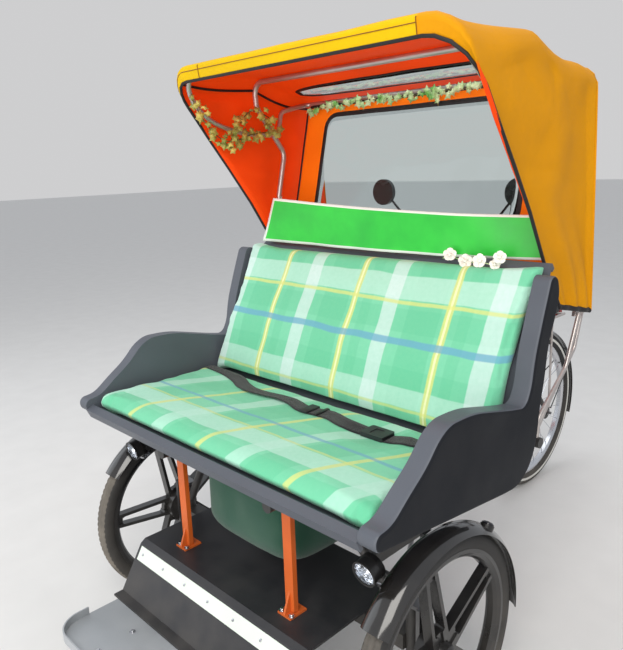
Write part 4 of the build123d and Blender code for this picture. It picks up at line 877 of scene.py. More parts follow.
@dataclass
class Hood:
    """The hood's cloth over its three bows: roof, side panels, front valance, piping and seams."""

    maker: Maker
    half: float = 0.520
    front_round: float = 0.105
    rear_round: float = 0.056
    wall: float = 0.003
    across: int = 168
    deep: int = 80
    valance_rows: int = 7
    flat_share: float = 0.36
    seam_share: float = 0.345
    arc_share: float = 0.42
    lens_half: float = 0.448
    lens_tip: float = 0.578
    lens_front: float = 0.080
    lens_rear: float = 0.076
    valance: float = 0.073
    side_sag: float = 0.011
    middle_sag: float = 0.007
    opening_lean: float = 0.077
    lean_reach: float = 0.09
    trim_sink: float = -0.0015
    thread: float = 0.0012

    def __post_init__(self) -> None:
        """Lays out the side view's lines."""
        self.roof = self.line((0.098, 1.660), (0.092, 1.698), (0.104, 1.708), (0.41, 1.697), (0.50, 1.675),
                              (0.58, 1.657), (0.724, 1.636))
        self.front = self.line((0.175, 1.555), (0.205, 1.516), (0.238, 1.472), (0.307, 1.384), (0.387, 1.277),
                               (0.477, 1.137), (0.574, 1.013))
        self.rear = self.line((0.7316, 1.590), (0.776, 0.969))
        self.legs = [
            self.line((0.722, 0.996), (0.500, 1.295), (0.536, 1.450), (0.418, 1.600), (0.410, 1.680)),
            self.line((0.488, 1.512), (0.330, 1.520), (0.185, 1.568), (0.108, 1.640)),
            self.line((0.508, 1.512), (0.524, 1.590), (0.615, 1.611)),
            self.line((0.655, 0.822), (0.726, 0.978)),
        ]

    @staticmethod
    def line(*points: tuple[float, float]) -> Points:
        """Makes a side-view line of (y, z) points from the axle."""
        return [Vector((0, y, z)) for y, z in points]

    def leg_distance(self, y: float, z: float) -> float:
        """Gives the side-view distance from a point to the nearest tube under the cloth."""
        spot = Vector((0, y, z))
        best = 1.0
        for leg in self.legs:
            for a, b in zip(leg, leg[1:]):
                way = b - a
                share = clamp((spot - a).dot(way) / way.length_squared)
                best = min(best, (a + way * share - spot).length)
        return best

    def share_at(self, y: float) -> float:
        """Finds the share of the roof line behind the valance that lies at a Y."""
        low, high = self.valance, 1.0
        for _ in range(24):
            mid = (low + high) / 2
            low, high = (mid, high) if along(self.roof, mid).y < y else (low, mid)
        return low

    def corner(self, b: float, side: int = 1) -> float:
        """Gives the round between roof and side panel: wide at the opening, tighter from the main bow on."""
        share = clamp((b - 0.12) / 0.38)
        wide = self.front_round * (1.0 if side > 0 else 0.62)
        return wide + (self.rear_round - wide) * share * share * (3 - 2 * share)

    @staticmethod
    def sag(y: float) -> float:
        """Gives how far the cloth dips between two bows, from 0 to 1 for the front and the rear span."""
        spans = ((0.108, 0.410, 0.75), (0.410, 0.655, 1.0))
        return sum(d * math.sin(math.pi * (y - a) / (b - a)) for a, b, d in spans if a < y < b)

    def side_relief(self, y: float, z: float, down: float, back: float) -> float:
        """Gives how far a side panel stands out or in: hollows between tubes, folds and one crease."""
        hollow = 0.011 * (1 - math.exp(-((self.leg_distance(y, z) / 0.065) ** 2)))
        fold = math.sin(math.tau * (3.2 * back + 0.35 * math.sin(5 * down))) * max(0.0, down - 0.35) ** 1.3
        crease = math.exp(-(((down - 0.34 - 0.1 * back) / 0.022) ** 2)) * math.sin(math.pi * back)
        spot = Vector((0.3, y, z))
        grain = 0.0022 * ripple(spot, 7, 3) + 0.0011 * ripple(spot, 19, 8)
        edge = min(1.0, min(back, 1 - back) / 0.07) * min(1.0, (1 - down) / 0.04 + 0.35)
        return (-hollow + 0.010 * fold - 0.0035 * crease + grain) * edge

    def point(self, a: float, b: float, out: float = 0.0) -> Vector:
        """Gives a point of the cloth.

        Args:
            a: From -1 at the right panel's foot, over the roof, to 1 at the left panel's foot.
            b: From 0 at the opening to 1 at the rear edge.
            out: How far outside the cloth the point lies.

        Returns:
            The point in the row frame.
        """
        side = 1 if a >= 0 else -1
        a = abs(a)
        top = along(self.roof, b)
        edge = self.corner(b, side)
        inner = self.half - edge
        top.z -= self.side_sag * self.sag(top.y)
        shift = self.opening_lean * math.exp(-b / self.lean_reach)
        shift -= 0.7 * (self.front_round - edge) * max(0.0, 1 - b / 0.1)
        face_on = b < self.valance * 0.8
        if a <= self.flat_share:
            x = inner * a / self.flat_share
            spot = Vector((x, top.y, top.z))
            lift = 0.0018 * ripple(spot, 6, side * 4)
            lift -= self.middle_sag * self.sag(top.y) * max(0.0, 1 - (x / 0.5) ** 2)
            if face_on:
                return at(side * x, top.y - out + 0.4 * lift, top.z)
            return at(side * x, top.y, top.z + lift + out)
        if a <= self.arc_share:
            turn = (a - self.flat_share) / (self.arc_share - self.flat_share) * math.pi / 2
            reach = edge + out
            return at(
                side * (inner + reach * math.sin(turn)), top.y + shift * (1 - math.cos(turn)),
                top.z - edge + reach * math.cos(turn),
            )
        down = (a - self.arc_share) / (1 - self.arc_share)
        start = Vector((0, top.y + shift, top.z - edge))
        spot = along(self.front, down).lerp(along(self.rear, down), b)
        spot += (start - self.front[0].lerp(self.rear[0], b)) * (1 - down) ** 2
        return at(side * (self.half + self.side_relief(spot.y, spot.z, down, b) + out), spot.y, spot.z)

    def row_share(self, t: float) -> float:
        """Turns a row's share of the grid into its share of the roof line, with rows kept for the valance."""
        step = self.valance_rows / self.deep
        if t <= step:
            return self.valance * t / step
        return self.valance + (1 - self.valance) * (t - step) / (1 - step)

    def lens_edges(self, x: float) -> tuple[float, float]:
        """Gives the Y of the roof window's front and rear edge at an X."""
        bulge = max(0.0, 1 - abs(x / self.lens_half) ** 3) ** (1 / 3)
        return self.lens_tip - self.lens_front * bulge, self.lens_tip + self.lens_rear * bulge

    def across_share(self, x: float, b: float) -> float:
        """Turns an X on the flat roof into the cloth's share across."""
        return x / (self.half - self.corner(b, 1 if x >= 0 else -1)) * self.flat_share

    def cut_lens(self, mesh: BMesh, shares: dict) -> None:
        """Opens the roof window in the flat grid and fits the hole's border to its outline.

        Args:
            mesh: The grid, with X from -1 to 1 across the hood.
            shares: The share of the roof line by vertex, changed on the border.
        """

        def roof_x(across: float, share: float) -> float:
            """Turns a share across the grid into an X on the flat roof, without its sign."""
            return (self.half - self.corner(share, 1 if across >= 0 else -1)) * abs(across) / self.flat_share

        inside = set()
        for face in mesh.faces:
            x = roof_x(face.calc_center_median().x, shares[face.verts[0]])
            if x >= self.lens_half:
                continue
            front, rear = self.lens_edges(x)
            y = along(self.roof, sum(shares[v] for v in face.verts) / 4).y
            if front < y < rear:
                inside.add(face)
        rim = {v for f in inside for v in f.verts if not all(g in inside for g in v.link_faces)}
        bmesh.ops.delete(mesh, geom=list(inside), context="FACES")
        for vert in rim:
            if not vert.is_valid:
                continue
            x = min(roof_x(vert.co.x, shares[vert]), self.lens_half)
            front, rear = self.lens_edges(x)
            y = along(self.roof, shares[vert]).y
            shares[vert] = self.share_at(front if abs(y - front) < abs(y - rear) else rear)

    def build_cloth(self) -> Object:
        """Builds the one sewn sheet with its lining."""
        mesh = bmesh.new()
        grid(mesh, self.across, self.deep)
        step = 2 * self.valance_rows / self.deep - 1
        for face in mesh.faces:
            centre = face.calc_center_median()
            # Valance faces take the lit yellow copy of the hood cloth, which is painted light.
            face.material_index = 1 if centre.y < step and centre.x < self.seam_share else 0
        shares = {v: self.row_share((v.co.y + 1) / 2) for v in mesh.verts}
        self.cut_lens(mesh, shares)
        for vert in mesh.verts:
            vert.co = self.point(vert.co.x, shares[vert])
        bmesh.ops.recalc_face_normals(mesh, faces=mesh.faces)
        upper = max(mesh.faces, key=lambda f: f.calc_center_median().z)
        if upper.normal.z < 0:
            bmesh.ops.reverse_faces(mesh, faces=mesh.faces)
        finishes = ["hood_amber", "hood_yellow", "lining_orange", "lining_orange"]
        cloth = self.maker.piece("hood_cloth", mesh, finishes, "hood_cloth", 60)
        solidify(cloth, self.wall, -1.0, 2, 2)
        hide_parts("hood_canopy")
        return cloth

    def edge(self, kept: Kept, value: float, count: int, out: float = 0.0, low: float = -1.0,
             high: float = 1.0) -> Points:
        """Samples a line of the cloth.

        Args:
            kept: The share that keeps one value.
            value: That value.
            count: How many points come back.
            out: How far outside the cloth they lie.
            low: Where the other share starts.
            high: Where it ends.

        Returns:
            The points in the row frame.
        """
        shares = [low + (high - low) * i / (count - 1) for i in range(count)]
        if kept is Kept.ALONG:
            return [self.point(a, value, out) for a in shares]
        return [self.point(value, b, out) for b in shares]

    def build_trim(self) -> list[Object]:
        """Builds the piping, the bindings, the seams and the valance's stitching."""
        across = Vector((1, 0, 0))
        piping = bmesh.new()
        tube(piping, self.edge(Kept.ALONG, 0.0, 150, self.trim_sink), 0.0046, 8)
        for side in (-1, 1):
            hem = self.edge(Kept.ACROSS, side * 1.0, 40, self.trim_sink, 0.0)
            tube(piping, hem, 0.0075, 8, flat=0.5, up=across)
            tube(piping, self.edge(Kept.ACROSS, side * 0.408, 60, -0.0075, self.valance), 0.004, 8)
        for lens_side in (0, 1):
            line = []
            for i in range(61):
                x = self.lens_half * (i / 30 - 1)
                y = self.lens_edges(x)[lens_side]
                b = self.share_at(y)
                line.append(self.point(self.across_share(x, b), b, self.trim_sink))
            tube(piping, line, 0.0085, 8, flat=0.42)
        made = [self.maker.piece("hood_piping", piping, ["piping_black"], "hood_cloth")]
        binding = bmesh.new()
        tube(binding, self.edge(Kept.ALONG, 1.0, 120, self.trim_sink), 0.0036, 8)
        made.append(self.maker.piece("hood_rear_binding", binding, ["hood_amber"], "hood_cloth"))
        stitches = bmesh.new()
        lines = [self.edge(Kept.ALONG, self.valance * 0.56, 90, 0.0006, -0.41, self.seam_share)]
        lines += [self.edge(Kept.ACROSS, share, 12, 0.0008, 0.004, self.valance * 0.8)
                  for share in (self.seam_share, -0.30)]
        for line in lines:
            tube(stitches, line, self.thread, 5)
        made.append(self.maker.piece("hood_stitching", stitches, ["thread_dark"], "hood_cloth"))
        return made

    def build_lens(self) -> Object:
        """Builds the roof window's clear sheet."""
        mesh = bmesh.new()
        grid(mesh, 48, 8)
        for vert in mesh.verts:
            x = self.lens_half * 0.998 * vert.co.x
            front, rear = self.lens_edges(x)
            y = front + (rear - front) * (vert.co.y + 1) / 2
            b = self.share_at(y)
            vert.co = self.point(self.across_share(x, b), b, -0.0022)
        pane = self.maker.piece("roof_window", mesh, ["clear_sheet"], "clear_sheet", weld=0.0004)
        solidify(pane, 0.0008)
        return pane

    def build_front_bow(self) -> None:
        """Builds the front bow with the wide corner bends that the cloth follows."""
        half = [(0.506, 0.488, 1.512), (0.506, 0.400, 1.511), (0.506, 0.330, 1.520), (0.506, 0.250, 1.541),
                (0.504, 0.200, 1.566), (0.500, 0.158, 1.603), (0.484, 0.126, 1.646), (0.448, 0.114, 1.677),
                (0.400, 0.110, 1.689), (0.330, 0.110, 1.692), (0.0, 0.110, 1.692)]
        line = [at(-x, y, z) for x, y, z in half] + [at(x, y, z) for x, y, z in reversed(half[:-1])]
        mesh = bmesh.new()
        tube(mesh, smooth_line(line, 150), 0.008, 14)
        made = self.maker.piece("front_bow_tube", mesh, ["tube_steel"], "bright_steel")
        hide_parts("hood_bow_front")

    def build(self) -> None:
        """Builds the whole hood."""
        self.build_front_bow()
        cloth = self.build_cloth()
        trim = self.build_trim()
        lens = self.build_lens()


@dataclass
class RearPanel:
    """The orange panel between main bow and seat back, with its large clear window."""

    maker: Maker
    top: tuple[float, float] = (0.650, 1.607)
    low: tuple[float, float] = (0.536, 1.118)
    half: float = 0.487
    window_half: float = 0.390
    window_height: float = 0.360
    window_drop: float = 0.034
    window_round: float = 0.045
    count: int = 160

    def __post_init__(self) -> None:
        """Sets up the panel's plane."""
        upper, lower = at(0, *self.top), at(0, *self.low)
        self.up = (upper - lower).normalized()
        self.length = (upper - lower).length
        self.middle = (upper + lower) / 2
        self.out = Vector((1, 0, 0)).cross(self.up)
        self.window_middle = self.length / 2 - self.window_drop - self.window_height / 2

    def place(self, u: float, v: float, lift: float = 0.0) -> Vector:
        """Places a point of the panel, with the cloth's slight waves."""
        spot = self.middle + Vector((u, 0, 0)) + self.up * v
        wave = 0.0028 * ripple(spot, 5, 2) + 0.0012 * ripple(spot, 14, 6)
        return spot + self.out * (wave + lift)

    def loop(self, half_w: float, half_h: float, radius: float, middle: float) -> Outline:
        """Gives evenly spread points of a rounded rectangle in the panel's plane."""
        corners = []
        for i in range(4):
            sx, sy = ((1, 1), (-1, 1), (-1, -1), (1, -1))[i]
            for j in range(9):
                turn = math.radians(90 * i + 90 * j / 8)
                corners.append(Vector((
                    sx * (half_w - radius) + radius * math.cos(turn),
                    sy * (half_h - radius) + radius * math.sin(turn), 0,
                )))
        start = Vector((half_w, 0, 0))
        line = [start] + corners + [start]
        return [(p.x, middle + p.y) for p in (along(line, i / self.count) for i in range(self.count))]

    def build(self) -> None:
        """Builds the cloth, the binding and the clear sheet."""
        outer = self.loop(self.half, self.length / 2, 0.02, 0.0)
        inner = self.loop(self.window_half, self.window_height / 2, self.window_round, self.window_middle)
        mesh = bmesh.new()
        edges = []
        for loop in (outer, inner):
            ring = bmesh.ops.create_circle(mesh, cap_ends=False, radius=1, segments=self.count)["verts"]
            for vert, (u, v) in zip(ring, loop):
                vert.co = Vector((u, v, 0))
            edges += list({e for vert in ring for e in vert.link_edges})
        made = bmesh.ops.bridge_loops(mesh, edges=edges)["edges"]
        bmesh.ops.subdivide_edges(mesh, edges=made, cuts=5, use_grid_fill=True)
        for vert in mesh.verts:
            vert.co = self.place(vert.co.x, vert.co.y)
        cloth = self.maker.piece("rear_panel_cloth", mesh, ["panel_orange"], "panel_cloth", 60, 1e-6)
        solidify(cloth, 0.0025)
        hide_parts("rear_panel")
        trim = bmesh.new()
        for loop, width in ((inner, 0.0085), (outer, 0.006)):
            tube(trim, [self.place(u, v) for u, v in loop], width, 8, closed=True, flat=0.42, up=self.out)
        binding = self.maker.piece("rear_panel_binding", trim, ["piping_black"], "panel_cloth")
        sheet = bmesh.new()
        grid(sheet, 30, 14)
        for vert in sheet.verts:
            u, v = vert.co.x, vert.co.y
            corner = 1 - 0.055 * (abs(u) * abs(v)) ** 6
            vert.co = self.place(
                u * self.window_half * corner, self.window_middle + v * self.window_height / 2 * corner, 0.0005
            )
        pane = self.maker.piece("rear_window", sheet, ["clear_sheet"], "clear_sheet", 60)
        solidify(pane, 0.0008)
        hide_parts("hood_windows")


@dataclass
class Banner:
    """The blank banner tied between the main bow's legs."""

    maker: Maker
    corners: tuple[tuple[float, float], ...] = (
        (-0.525, 1.149), (0.509, 1.147), (0.506, 1.262), (-0.458, 1.300)
    )
    y: float = 0.430
    bow_x: float = 0.506
    bow_foot: tuple[float, float] = (0.722, 0.996)
    bow_slope: float = 0.7425
    string: float = 0.0014

    def place(self, u: float, v: float) -> Vector:
        """Gives a point of the banner from its two shares."""
        low = Vector(self.corners[0]).lerp(Vector(self.corners[1]), u)
        top = Vector(self.corners[3]).lerp(Vector(self.corners[2]), u)
        spot = low.lerp(top, v)
        sag = (0.001 + 0.006 * v) * math.sin(math.pi * u)
        wave = 0.006 * math.sin(math.tau * (1.6 * u + 0.2 * v))
        wave += 0.002 * math.sin(math.tau * (5.1 * u + 0.7 * v))
        depth = self.y + 0.075 * max(0.0, (u - 0.72) / 0.28) ** 1.5
        return at(spot.x, depth + wave * (0.4 + 0.6 * (1 - v)), spot.y - sag)

    def build(self) -> None:
        """Builds the sheet, its UV map and its ties."""
        mesh = bmesh.new()
        bmesh.ops.create_grid(mesh, x_segments=90, y_segments=14, size=1.0, calc_uvs=False)
        layer = mesh.loops.layers.uv.new("UVMap")
        for face in mesh.faces:
            for corner in face.loops:
                corner[layer].uv = ((corner.vert.co.x + 1) / 2, (corner.vert.co.y + 1) / 2)
        for vert in mesh.verts:
            vert.co = self.place((vert.co.x + 1) / 2, (vert.co.y + 1) / 2)
        bmesh.ops.recalc_face_normals(mesh, faces=mesh.faces)
        sheet = self.maker.piece("banner_sheet", mesh, ["banner_green"], "banner_cloth", 60)
        solidify(sheet, 0.0012)
        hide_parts("banner")
        ties = bmesh.new()
        turns = [math.tau * i / 14 for i in range(14)]
        foot_y, foot_z = self.bow_foot
        for u, side in ((0.004, -1), (0.996, 1)):
            for v, z in ((0.96, 1.293), (0.04, 1.165)):
                start = self.place(u, v)
                leg = at(side * self.bow_x, foot_y - (z - foot_z) * self.bow_slope, z)
                droop = (start + leg) / 2 - Vector((0, 0, 0.008))
                tube(ties, smooth_line([start, droop, leg], 10), self.string, 6)
                knot = [leg + Vector((0.0105 * math.cos(t), 0.0095 * math.sin(t), 0.0105 * math.sin(t)))
                        for t in turns]
                tube(ties, knot, self.string, 6, closed=True)
        made = self.maker.piece("banner_ties", ties, ["strip_white"], "banner_cloth")


# Seat

# How far the cushions may bulge sideways before they meet the seat's sides, and how their cloth behaves.
PAD_HALF = 0.5425
STUFFING = {"quality": 5, "mass": 0.3, "tension_stiffness": 18, "compression_stiffness": 18,
            "shear_stiffness": 8, "bending_stiffness": 1.2, "shrink_min": -0.03, "use_pressure": True}


@dataclass
class Pad:
    """Turns a closed form into stuffed plaid cloth by a pressure simulation."""

    maker: Maker
    voxel: float = 0.008
    pressure: float = 4.0
    cap: float = 0.014
    frames: int = 20

    def remesh(self, source: Object) -> None:
        """Gives the object an even voxel mesh."""
        modifier = source.modifiers.new("even", "REMESH")
        modifier.mode = "VOXEL"
        modifier.voxel_size = self.voxel
        self.apply(source)

    @staticmethod
    def apply(source: Object) -> None:
        """Puts the evaluated mesh in place of the object's own."""
        graph = bpy.context.evaluated_depsgraph_get()
        fresh = bpy.data.meshes.new_from_object(source.evaluated_get(graph))
        source.modifiers.clear()
        for material in source.data.materials:
            if material.name not in fresh.materials:
                fresh.materials.append(material)
        source.data = fresh

    def inflate(self, source: Object) -> None:
        """Blows the mesh up for a few frames and keeps no point further than the cap from its start."""
        start = [v.co.copy() for v in source.data.vertices]
        cloth = source.modifiers.new("swell", "CLOTH")
        for key, value in STUFFING.items():
            setattr(cloth.settings, key, value)
        cloth.settings.uniform_pressure_force = self.pressure
        cloth.settings.effector_weights.gravity = 0
        cloth.point_cache.frame_start = 1
        cloth.point_cache.frame_end = self.frames
        for number in range(1, self.frames + 1):
            bpy.context.scene.frame_set(number)
        self.apply(source)
        bpy.context.scene.frame_set(1)
        for vert, before in zip(source.data.vertices, start):
            moved = vert.co - before
            if moved.length > self.cap:
                vert.co = before + moved.normalized() * self.cap

    def prism(self, name: str, outline: Outline, half: float, finish: str) -> Object:
        """Makes the starting form: a side view of (y, z) points drawn out along X, with rounded ends."""
        mesh = bmesh.new()
        verts = [mesh.verts.new(at(-half, y, z)) for y, z in outline]
        mesh.faces.new(verts)
        cap = bmesh.ops.extrude_face_region(mesh, geom=list(mesh.faces))["geom"]
        bmesh.ops.translate(mesh, verts=[g for g in cap if isinstance(g, BMVert)],
                            vec=Vector((2 * half, 0, 0)))
        rim = [e for e in mesh.edges if abs(e.verts[0].co.x - e.verts[1].co.x) < 1e-6]
        round_off(mesh, rim, 0.012, 3)
        return self.maker.piece(name, mesh, [finish], "plaid", 80, 1e-5)

    def stuffed(self, name: str, outline: Outline, half: float, finish: str) -> Object:
        """Makes a stuffed cover of a side view: drawn out, evenly meshed, blown up and smoothed."""
        made = self.prism(name, outline, half, finish)
        self.remesh(made)
        self.inflate(made)
        relax(made.data, 2)
        return made


def relax(data: bpy.types.Mesh, turns: int) -> None:
    """Smooths a mesh a few times."""
    mesh = bmesh.new()
    mesh.from_mesh(data)
    for _ in range(turns):
        bmesh.ops.smooth_vert(
            mesh, verts=mesh.verts, factor=0.5, use_axis_x=True, use_axis_y=True, use_axis_z=True
        )
    mesh.to_mesh(data)
    mesh.free()


@dataclass
class SeatCushion:
    """The bench's thick plaid seat cushion, crowned and round in front."""

    maker: Maker
    half: float = 0.538
    base: float = 0.6978

    def press(self, spot: Vector) -> float:
        """Gives the greatest height the top may have: lower under the buckle."""
        low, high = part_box("belt_buckle")
        dx = max(low.x - spot.x, spot.x - high.x, 0.0)
        dy = max(low.y - spot.y, spot.y - high.y, 0.0)
        away = math.hypot(dx, dy)
        return low.z - 0.0008 + 0.014 * min(1.0, away / 0.07) ** 1.5

    def build(self) -> Object:
        """Builds the cushion."""
        outline = [(-0.226, 0.7005), (-0.252, 0.714), (-0.256, 0.730), (-0.236, 0.741), (-0.10, 0.7425),
                   (0.06, 0.7375), (0.180, 0.735), (0.206, 0.7005)]
        made = Pad(self.maker, cap=0.012).stuffed("seat_cushion_cover", outline, self.half, "plaid_seat")
        for vert in made.data.vertices:
            spot = vert.co
            pucker = 0.0022 * ripple(spot, 9, 1) + 0.0012 * ripple(spot, 26, 5)
            corner = max(0.0, (abs(spot.x) - 0.44) / 0.1) * max(0.0, (AXLE_Y - 0.12 - spot.y) / 0.14)
            gather = 0.005 * corner * math.sin(spot.x * 190 + spot.z * 60)
            if spot.z > self.base + 0.012:
                spot.z = min(spot.z + pucker + gather, self.press(spot))
            spot.z = max(spot.z, self.base)
            spot.x = clamp(spot.x, -PAD_HALF, PAD_HALF)
        made.data.shade_smooth()
        smooth_levels(made, 1)
        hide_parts("seat_cushion")
        return made


@dataclass
class BackCushion:
    """The tall plaid back cushion, bent with the seat back."""

    maker: Maker
    half: float = 0.541
    front: tuple[tuple[float, float], ...] = ((0.192, 0.720), (0.262, 0.900), (0.318, 1.000), (0.400, 1.147))
    thick: float = 0.054
    inset: float = 0.007
    top: float = 1.150

    def face_y(self, z: float) -> float:
        """Gives the front face's Y at a height, from the axle; beyond its ends it runs straight on."""
        rows = list(zip(self.front, self.front[1:]))
        (y0, z0), (y1, z1) = next((row for row in rows if z <= row[1][1]), rows[-1])
        return y0 + (y1 - y0) * (z - z0) / (z1 - z0)

    def build(self) -> None:
        """Builds the cushion."""
        front = [(y + self.inset, z) for y, z in self.front]
        rear = [(y + self.thick - self.inset * 0.4, z) for y, z in reversed(self.front)]
        front[0] = (front[0][0], front[0][1] + 0.004)
        front[-1] = (front[-1][0] - 0.002, front[-1][1] - 0.008)
        rear[0] = (rear[0][0] - 0.002, rear[0][1] - 0.008)
        outline = [front[0]]
        for a, b in zip(front, front[1:]):
            outline += [(a[0] + (b[0] - a[0]) * i / 3, a[1] + (b[1] - a[1]) * i / 3) for i in (1, 2, 3)]
        made = Pad(self.maker, cap=0.013).stuffed("back_cushion_cover", outline + rear, self.half, "plaid_back")
        for vert in made.data.vertices:
            spot = vert.co
            face = AXLE_Y + self.face_y(spot.z)
            wave = 0.0025 * ripple(spot, 6, 9) + 0.0013 * ripple(spot, 17, 4)
            sag = 0.0035 * math.sin(spot.z * 46 + 1.6 * math.sin(spot.x * 5)) * max(0.0, 1 - abs(spot.x) / 0.6)
            if spot.y < face + self.thick * 0.5:
                spot.y += wave + 0.5 * sag
            spot.y = min(spot.y, face + self.thick + 0.004)
            spot.x = clamp(spot.x, -PAD_HALF, PAD_HALF)
            spot.z = min(spot.z, self.top)
        made.data.shade_smooth()
        smooth_levels(made, 1)
        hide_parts("back_cushion")


@dataclass
class LapBelt:
    """The webbing belt that lies loosely across the seat, with its adjuster."""

    maker: Maker
    width: float = 0.046

    def ribbon(self, mesh: BMesh, path: Outline,
               under: Callable[[Vector], float], twist: float) -> None:
        """Lays one run of webbing on the cushion.

        Args:
            mesh: The bmesh that gets the webbing.
            path: Its middle line as (x, y) points, y from the axle.
            under: Gives the cushion's height below a point.
            twist: How far it leans to either side, in radians.
        """
        count = 60
        line = smooth_line([at(x, y, 0.75) for x, y in path], count)
        cells = bmesh.ops.create_grid(mesh, x_segments=count - 1, y_segments=4, size=1.0)["verts"]
        for vert in cells:
            i = round((vert.co.x + 1) / 2 * (count - 1))
            centre = line[i]
            way = line[min(i + 1, count - 1)] - line[max(i - 1, 0)]
            side = Vector((-way.y, way.x, 0)).normalized()
            lean = twist * math.sin(i / count * 9.0)
            reach = vert.co.y * self.width / 2
            spot = centre + side * reach * math.cos(lean)
            hit = under(spot)
            vert.co = Vector((spot.x, spot.y, hit + 0.0022 + max(0.0, reach * math.sin(lean)) * 0.8))

    def build(self, cushion: Object) -> None:
        """Builds the belt on the finished cushion."""
        tree = BVHTree.FromObject(cushion, bpy.context.evaluated_depsgraph_get())

        def height(spot: Vector) -> float:
            """Finds the cushion's top below a point."""
            hit = tree.ray_cast(Vector((spot.x, spot.y, 1.0)), Vector((0, 0, -1)))[0]
            return hit.z if hit else 0.735

        low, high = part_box("belt_buckle")
        mid = (low.y + high.y) / 2 - AXLE_Y
        mesh = bmesh.new()
        self.ribbon(mesh, [(-0.541, 0.158), (-0.45, 0.150), (-0.336, 0.132), (-0.24, 0.085), (-0.157, 0.076),
                           (-0.039, 0.096), (0.04, 0.066), (0.12, 0.082), (0.20, 0.058), (0.245, mid - 0.004),
                           (low.x + 0.006, mid)], height, 0.32)
        self.ribbon(mesh, [(high.x - 0.006, mid), (0.36, mid), (0.401, 0.078), (0.47, 0.104), (0.541, 0.130)],
                    height, 0.2)
        belt = self.maker.piece("lap_belt_webbing", mesh, ["belt_webbing"], "webbing", 50)
        solidify(belt, 0.0016)
        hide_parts("lap_belt")
        plate = bmesh.new()
        for x, y, wide in ((0.055, 0.074, 0.030), (0.098, 0.078, 0.012)):
            shape = bmesh.ops.create_cube(plate, size=1.0)["verts"]
            centre = at(x, y, height(at(x, y, 0)) + 0.0065)
            place = Matrix.Translation(centre) @ Matrix.Diagonal((wide, 0.056, 0.006, 1))
            bmesh.ops.transform(plate, matrix=place, verts=shape)
            round_off(plate, {e for v in shape for e in v.link_edges}, 0.002, 2)
        self.maker.piece("belt_adjuster", plate, ["case_black"], "webbing")


@dataclass
class StorageBag:
    """The cloth bag that sags between the legs below the seat."""

    maker: Maker
    half: float = 0.193
    front: float = -0.150
    rear: float = 0.328
    top: float = 0.620
    low: float = 0.374
    rings: int = 26
    sides: int = 96

    def build(self) -> None:
        """Builds the bag, its hem and its hanging loops."""
        mesh = bmesh.new()
        rings = []
        for i in range(self.rings):
            share = i / (self.rings - 1)
            fall = math.sin(share * math.pi / 2)
            narrow = max(0.0, share - 0.42) / 0.58 * math.pi / 2
            close = max(0.02, max(0.0, math.cos(narrow)) ** 0.55)
            z = self.top - (self.top - self.low) * fall
            ring = bmesh.ops.create_circle(mesh, cap_ends=False, radius=1, segments=self.sides)["verts"]
            for j, vert in enumerate(ring):
                turn = math.tau * j / self.sides
                c, s = math.cos(turn), math.sin(turn)
                corner = (abs(c) ** 5 + abs(s) ** 5) ** -0.2
                rough = ripple(Vector((c, s, share)), 2.1, 7)
                fold = 1 + 0.016 * math.sin(9 * turn + 4 * share) * (1 - share)
                fold += 0.02 * rough * math.sin(math.pi * min(1, share * 1.4))
                belly = 1 + 0.012 * math.sin(math.pi * share)
                reach = corner * min(1.0, fold) * close * min(1.02, belly)
                mid = (self.front + self.rear) / 2 + 0.012 * share
                vert.co = at(self.half * c * reach, mid + (self.rear - self.front) / 2 * s * reach, z)
            rings.append(ring)
        for first, second in zip(rings, rings[1:]):
            bmesh.ops.bridge_loops(mesh, edges=ring_edges(first) + ring_edges(second))
        bmesh.ops.contextual_create(mesh, geom=ring_edges(rings[-1]))
        hem = [v.co.copy() for v in rings[0]]
        # The bag's very dark green is painted shade from under the seat.
        bag = self.maker.piece("storage_bag_cloth", mesh, ["bag_green"], "bag_cloth", 60, 1e-6)
        solidify(bag, 0.003, -1.0)
        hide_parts("storage_bag")
        trim = bmesh.new()
        tube(trim, hem, 0.0055, 8, closed=True, flat=0.6, up=Vector((0, 0, 1)))
        for x in (-0.19, 0.19):
            for y in (-0.10, 0.06, 0.24):
                loop = [at(x, y - 0.012, 0.612), at(x * 1.12, y - 0.012, 0.64), at(x * 1.165, y, 0.662),
                        at(x * 1.12, y + 0.012, 0.64), at(x, y + 0.012, 0.612)]
                tube(trim, smooth_line(loop, 14), 0.004, 6, flat=0.5)
        self.maker.piece("storage_bag_hem", trim, ["bag_green"], "bag_cloth")


# Wheels


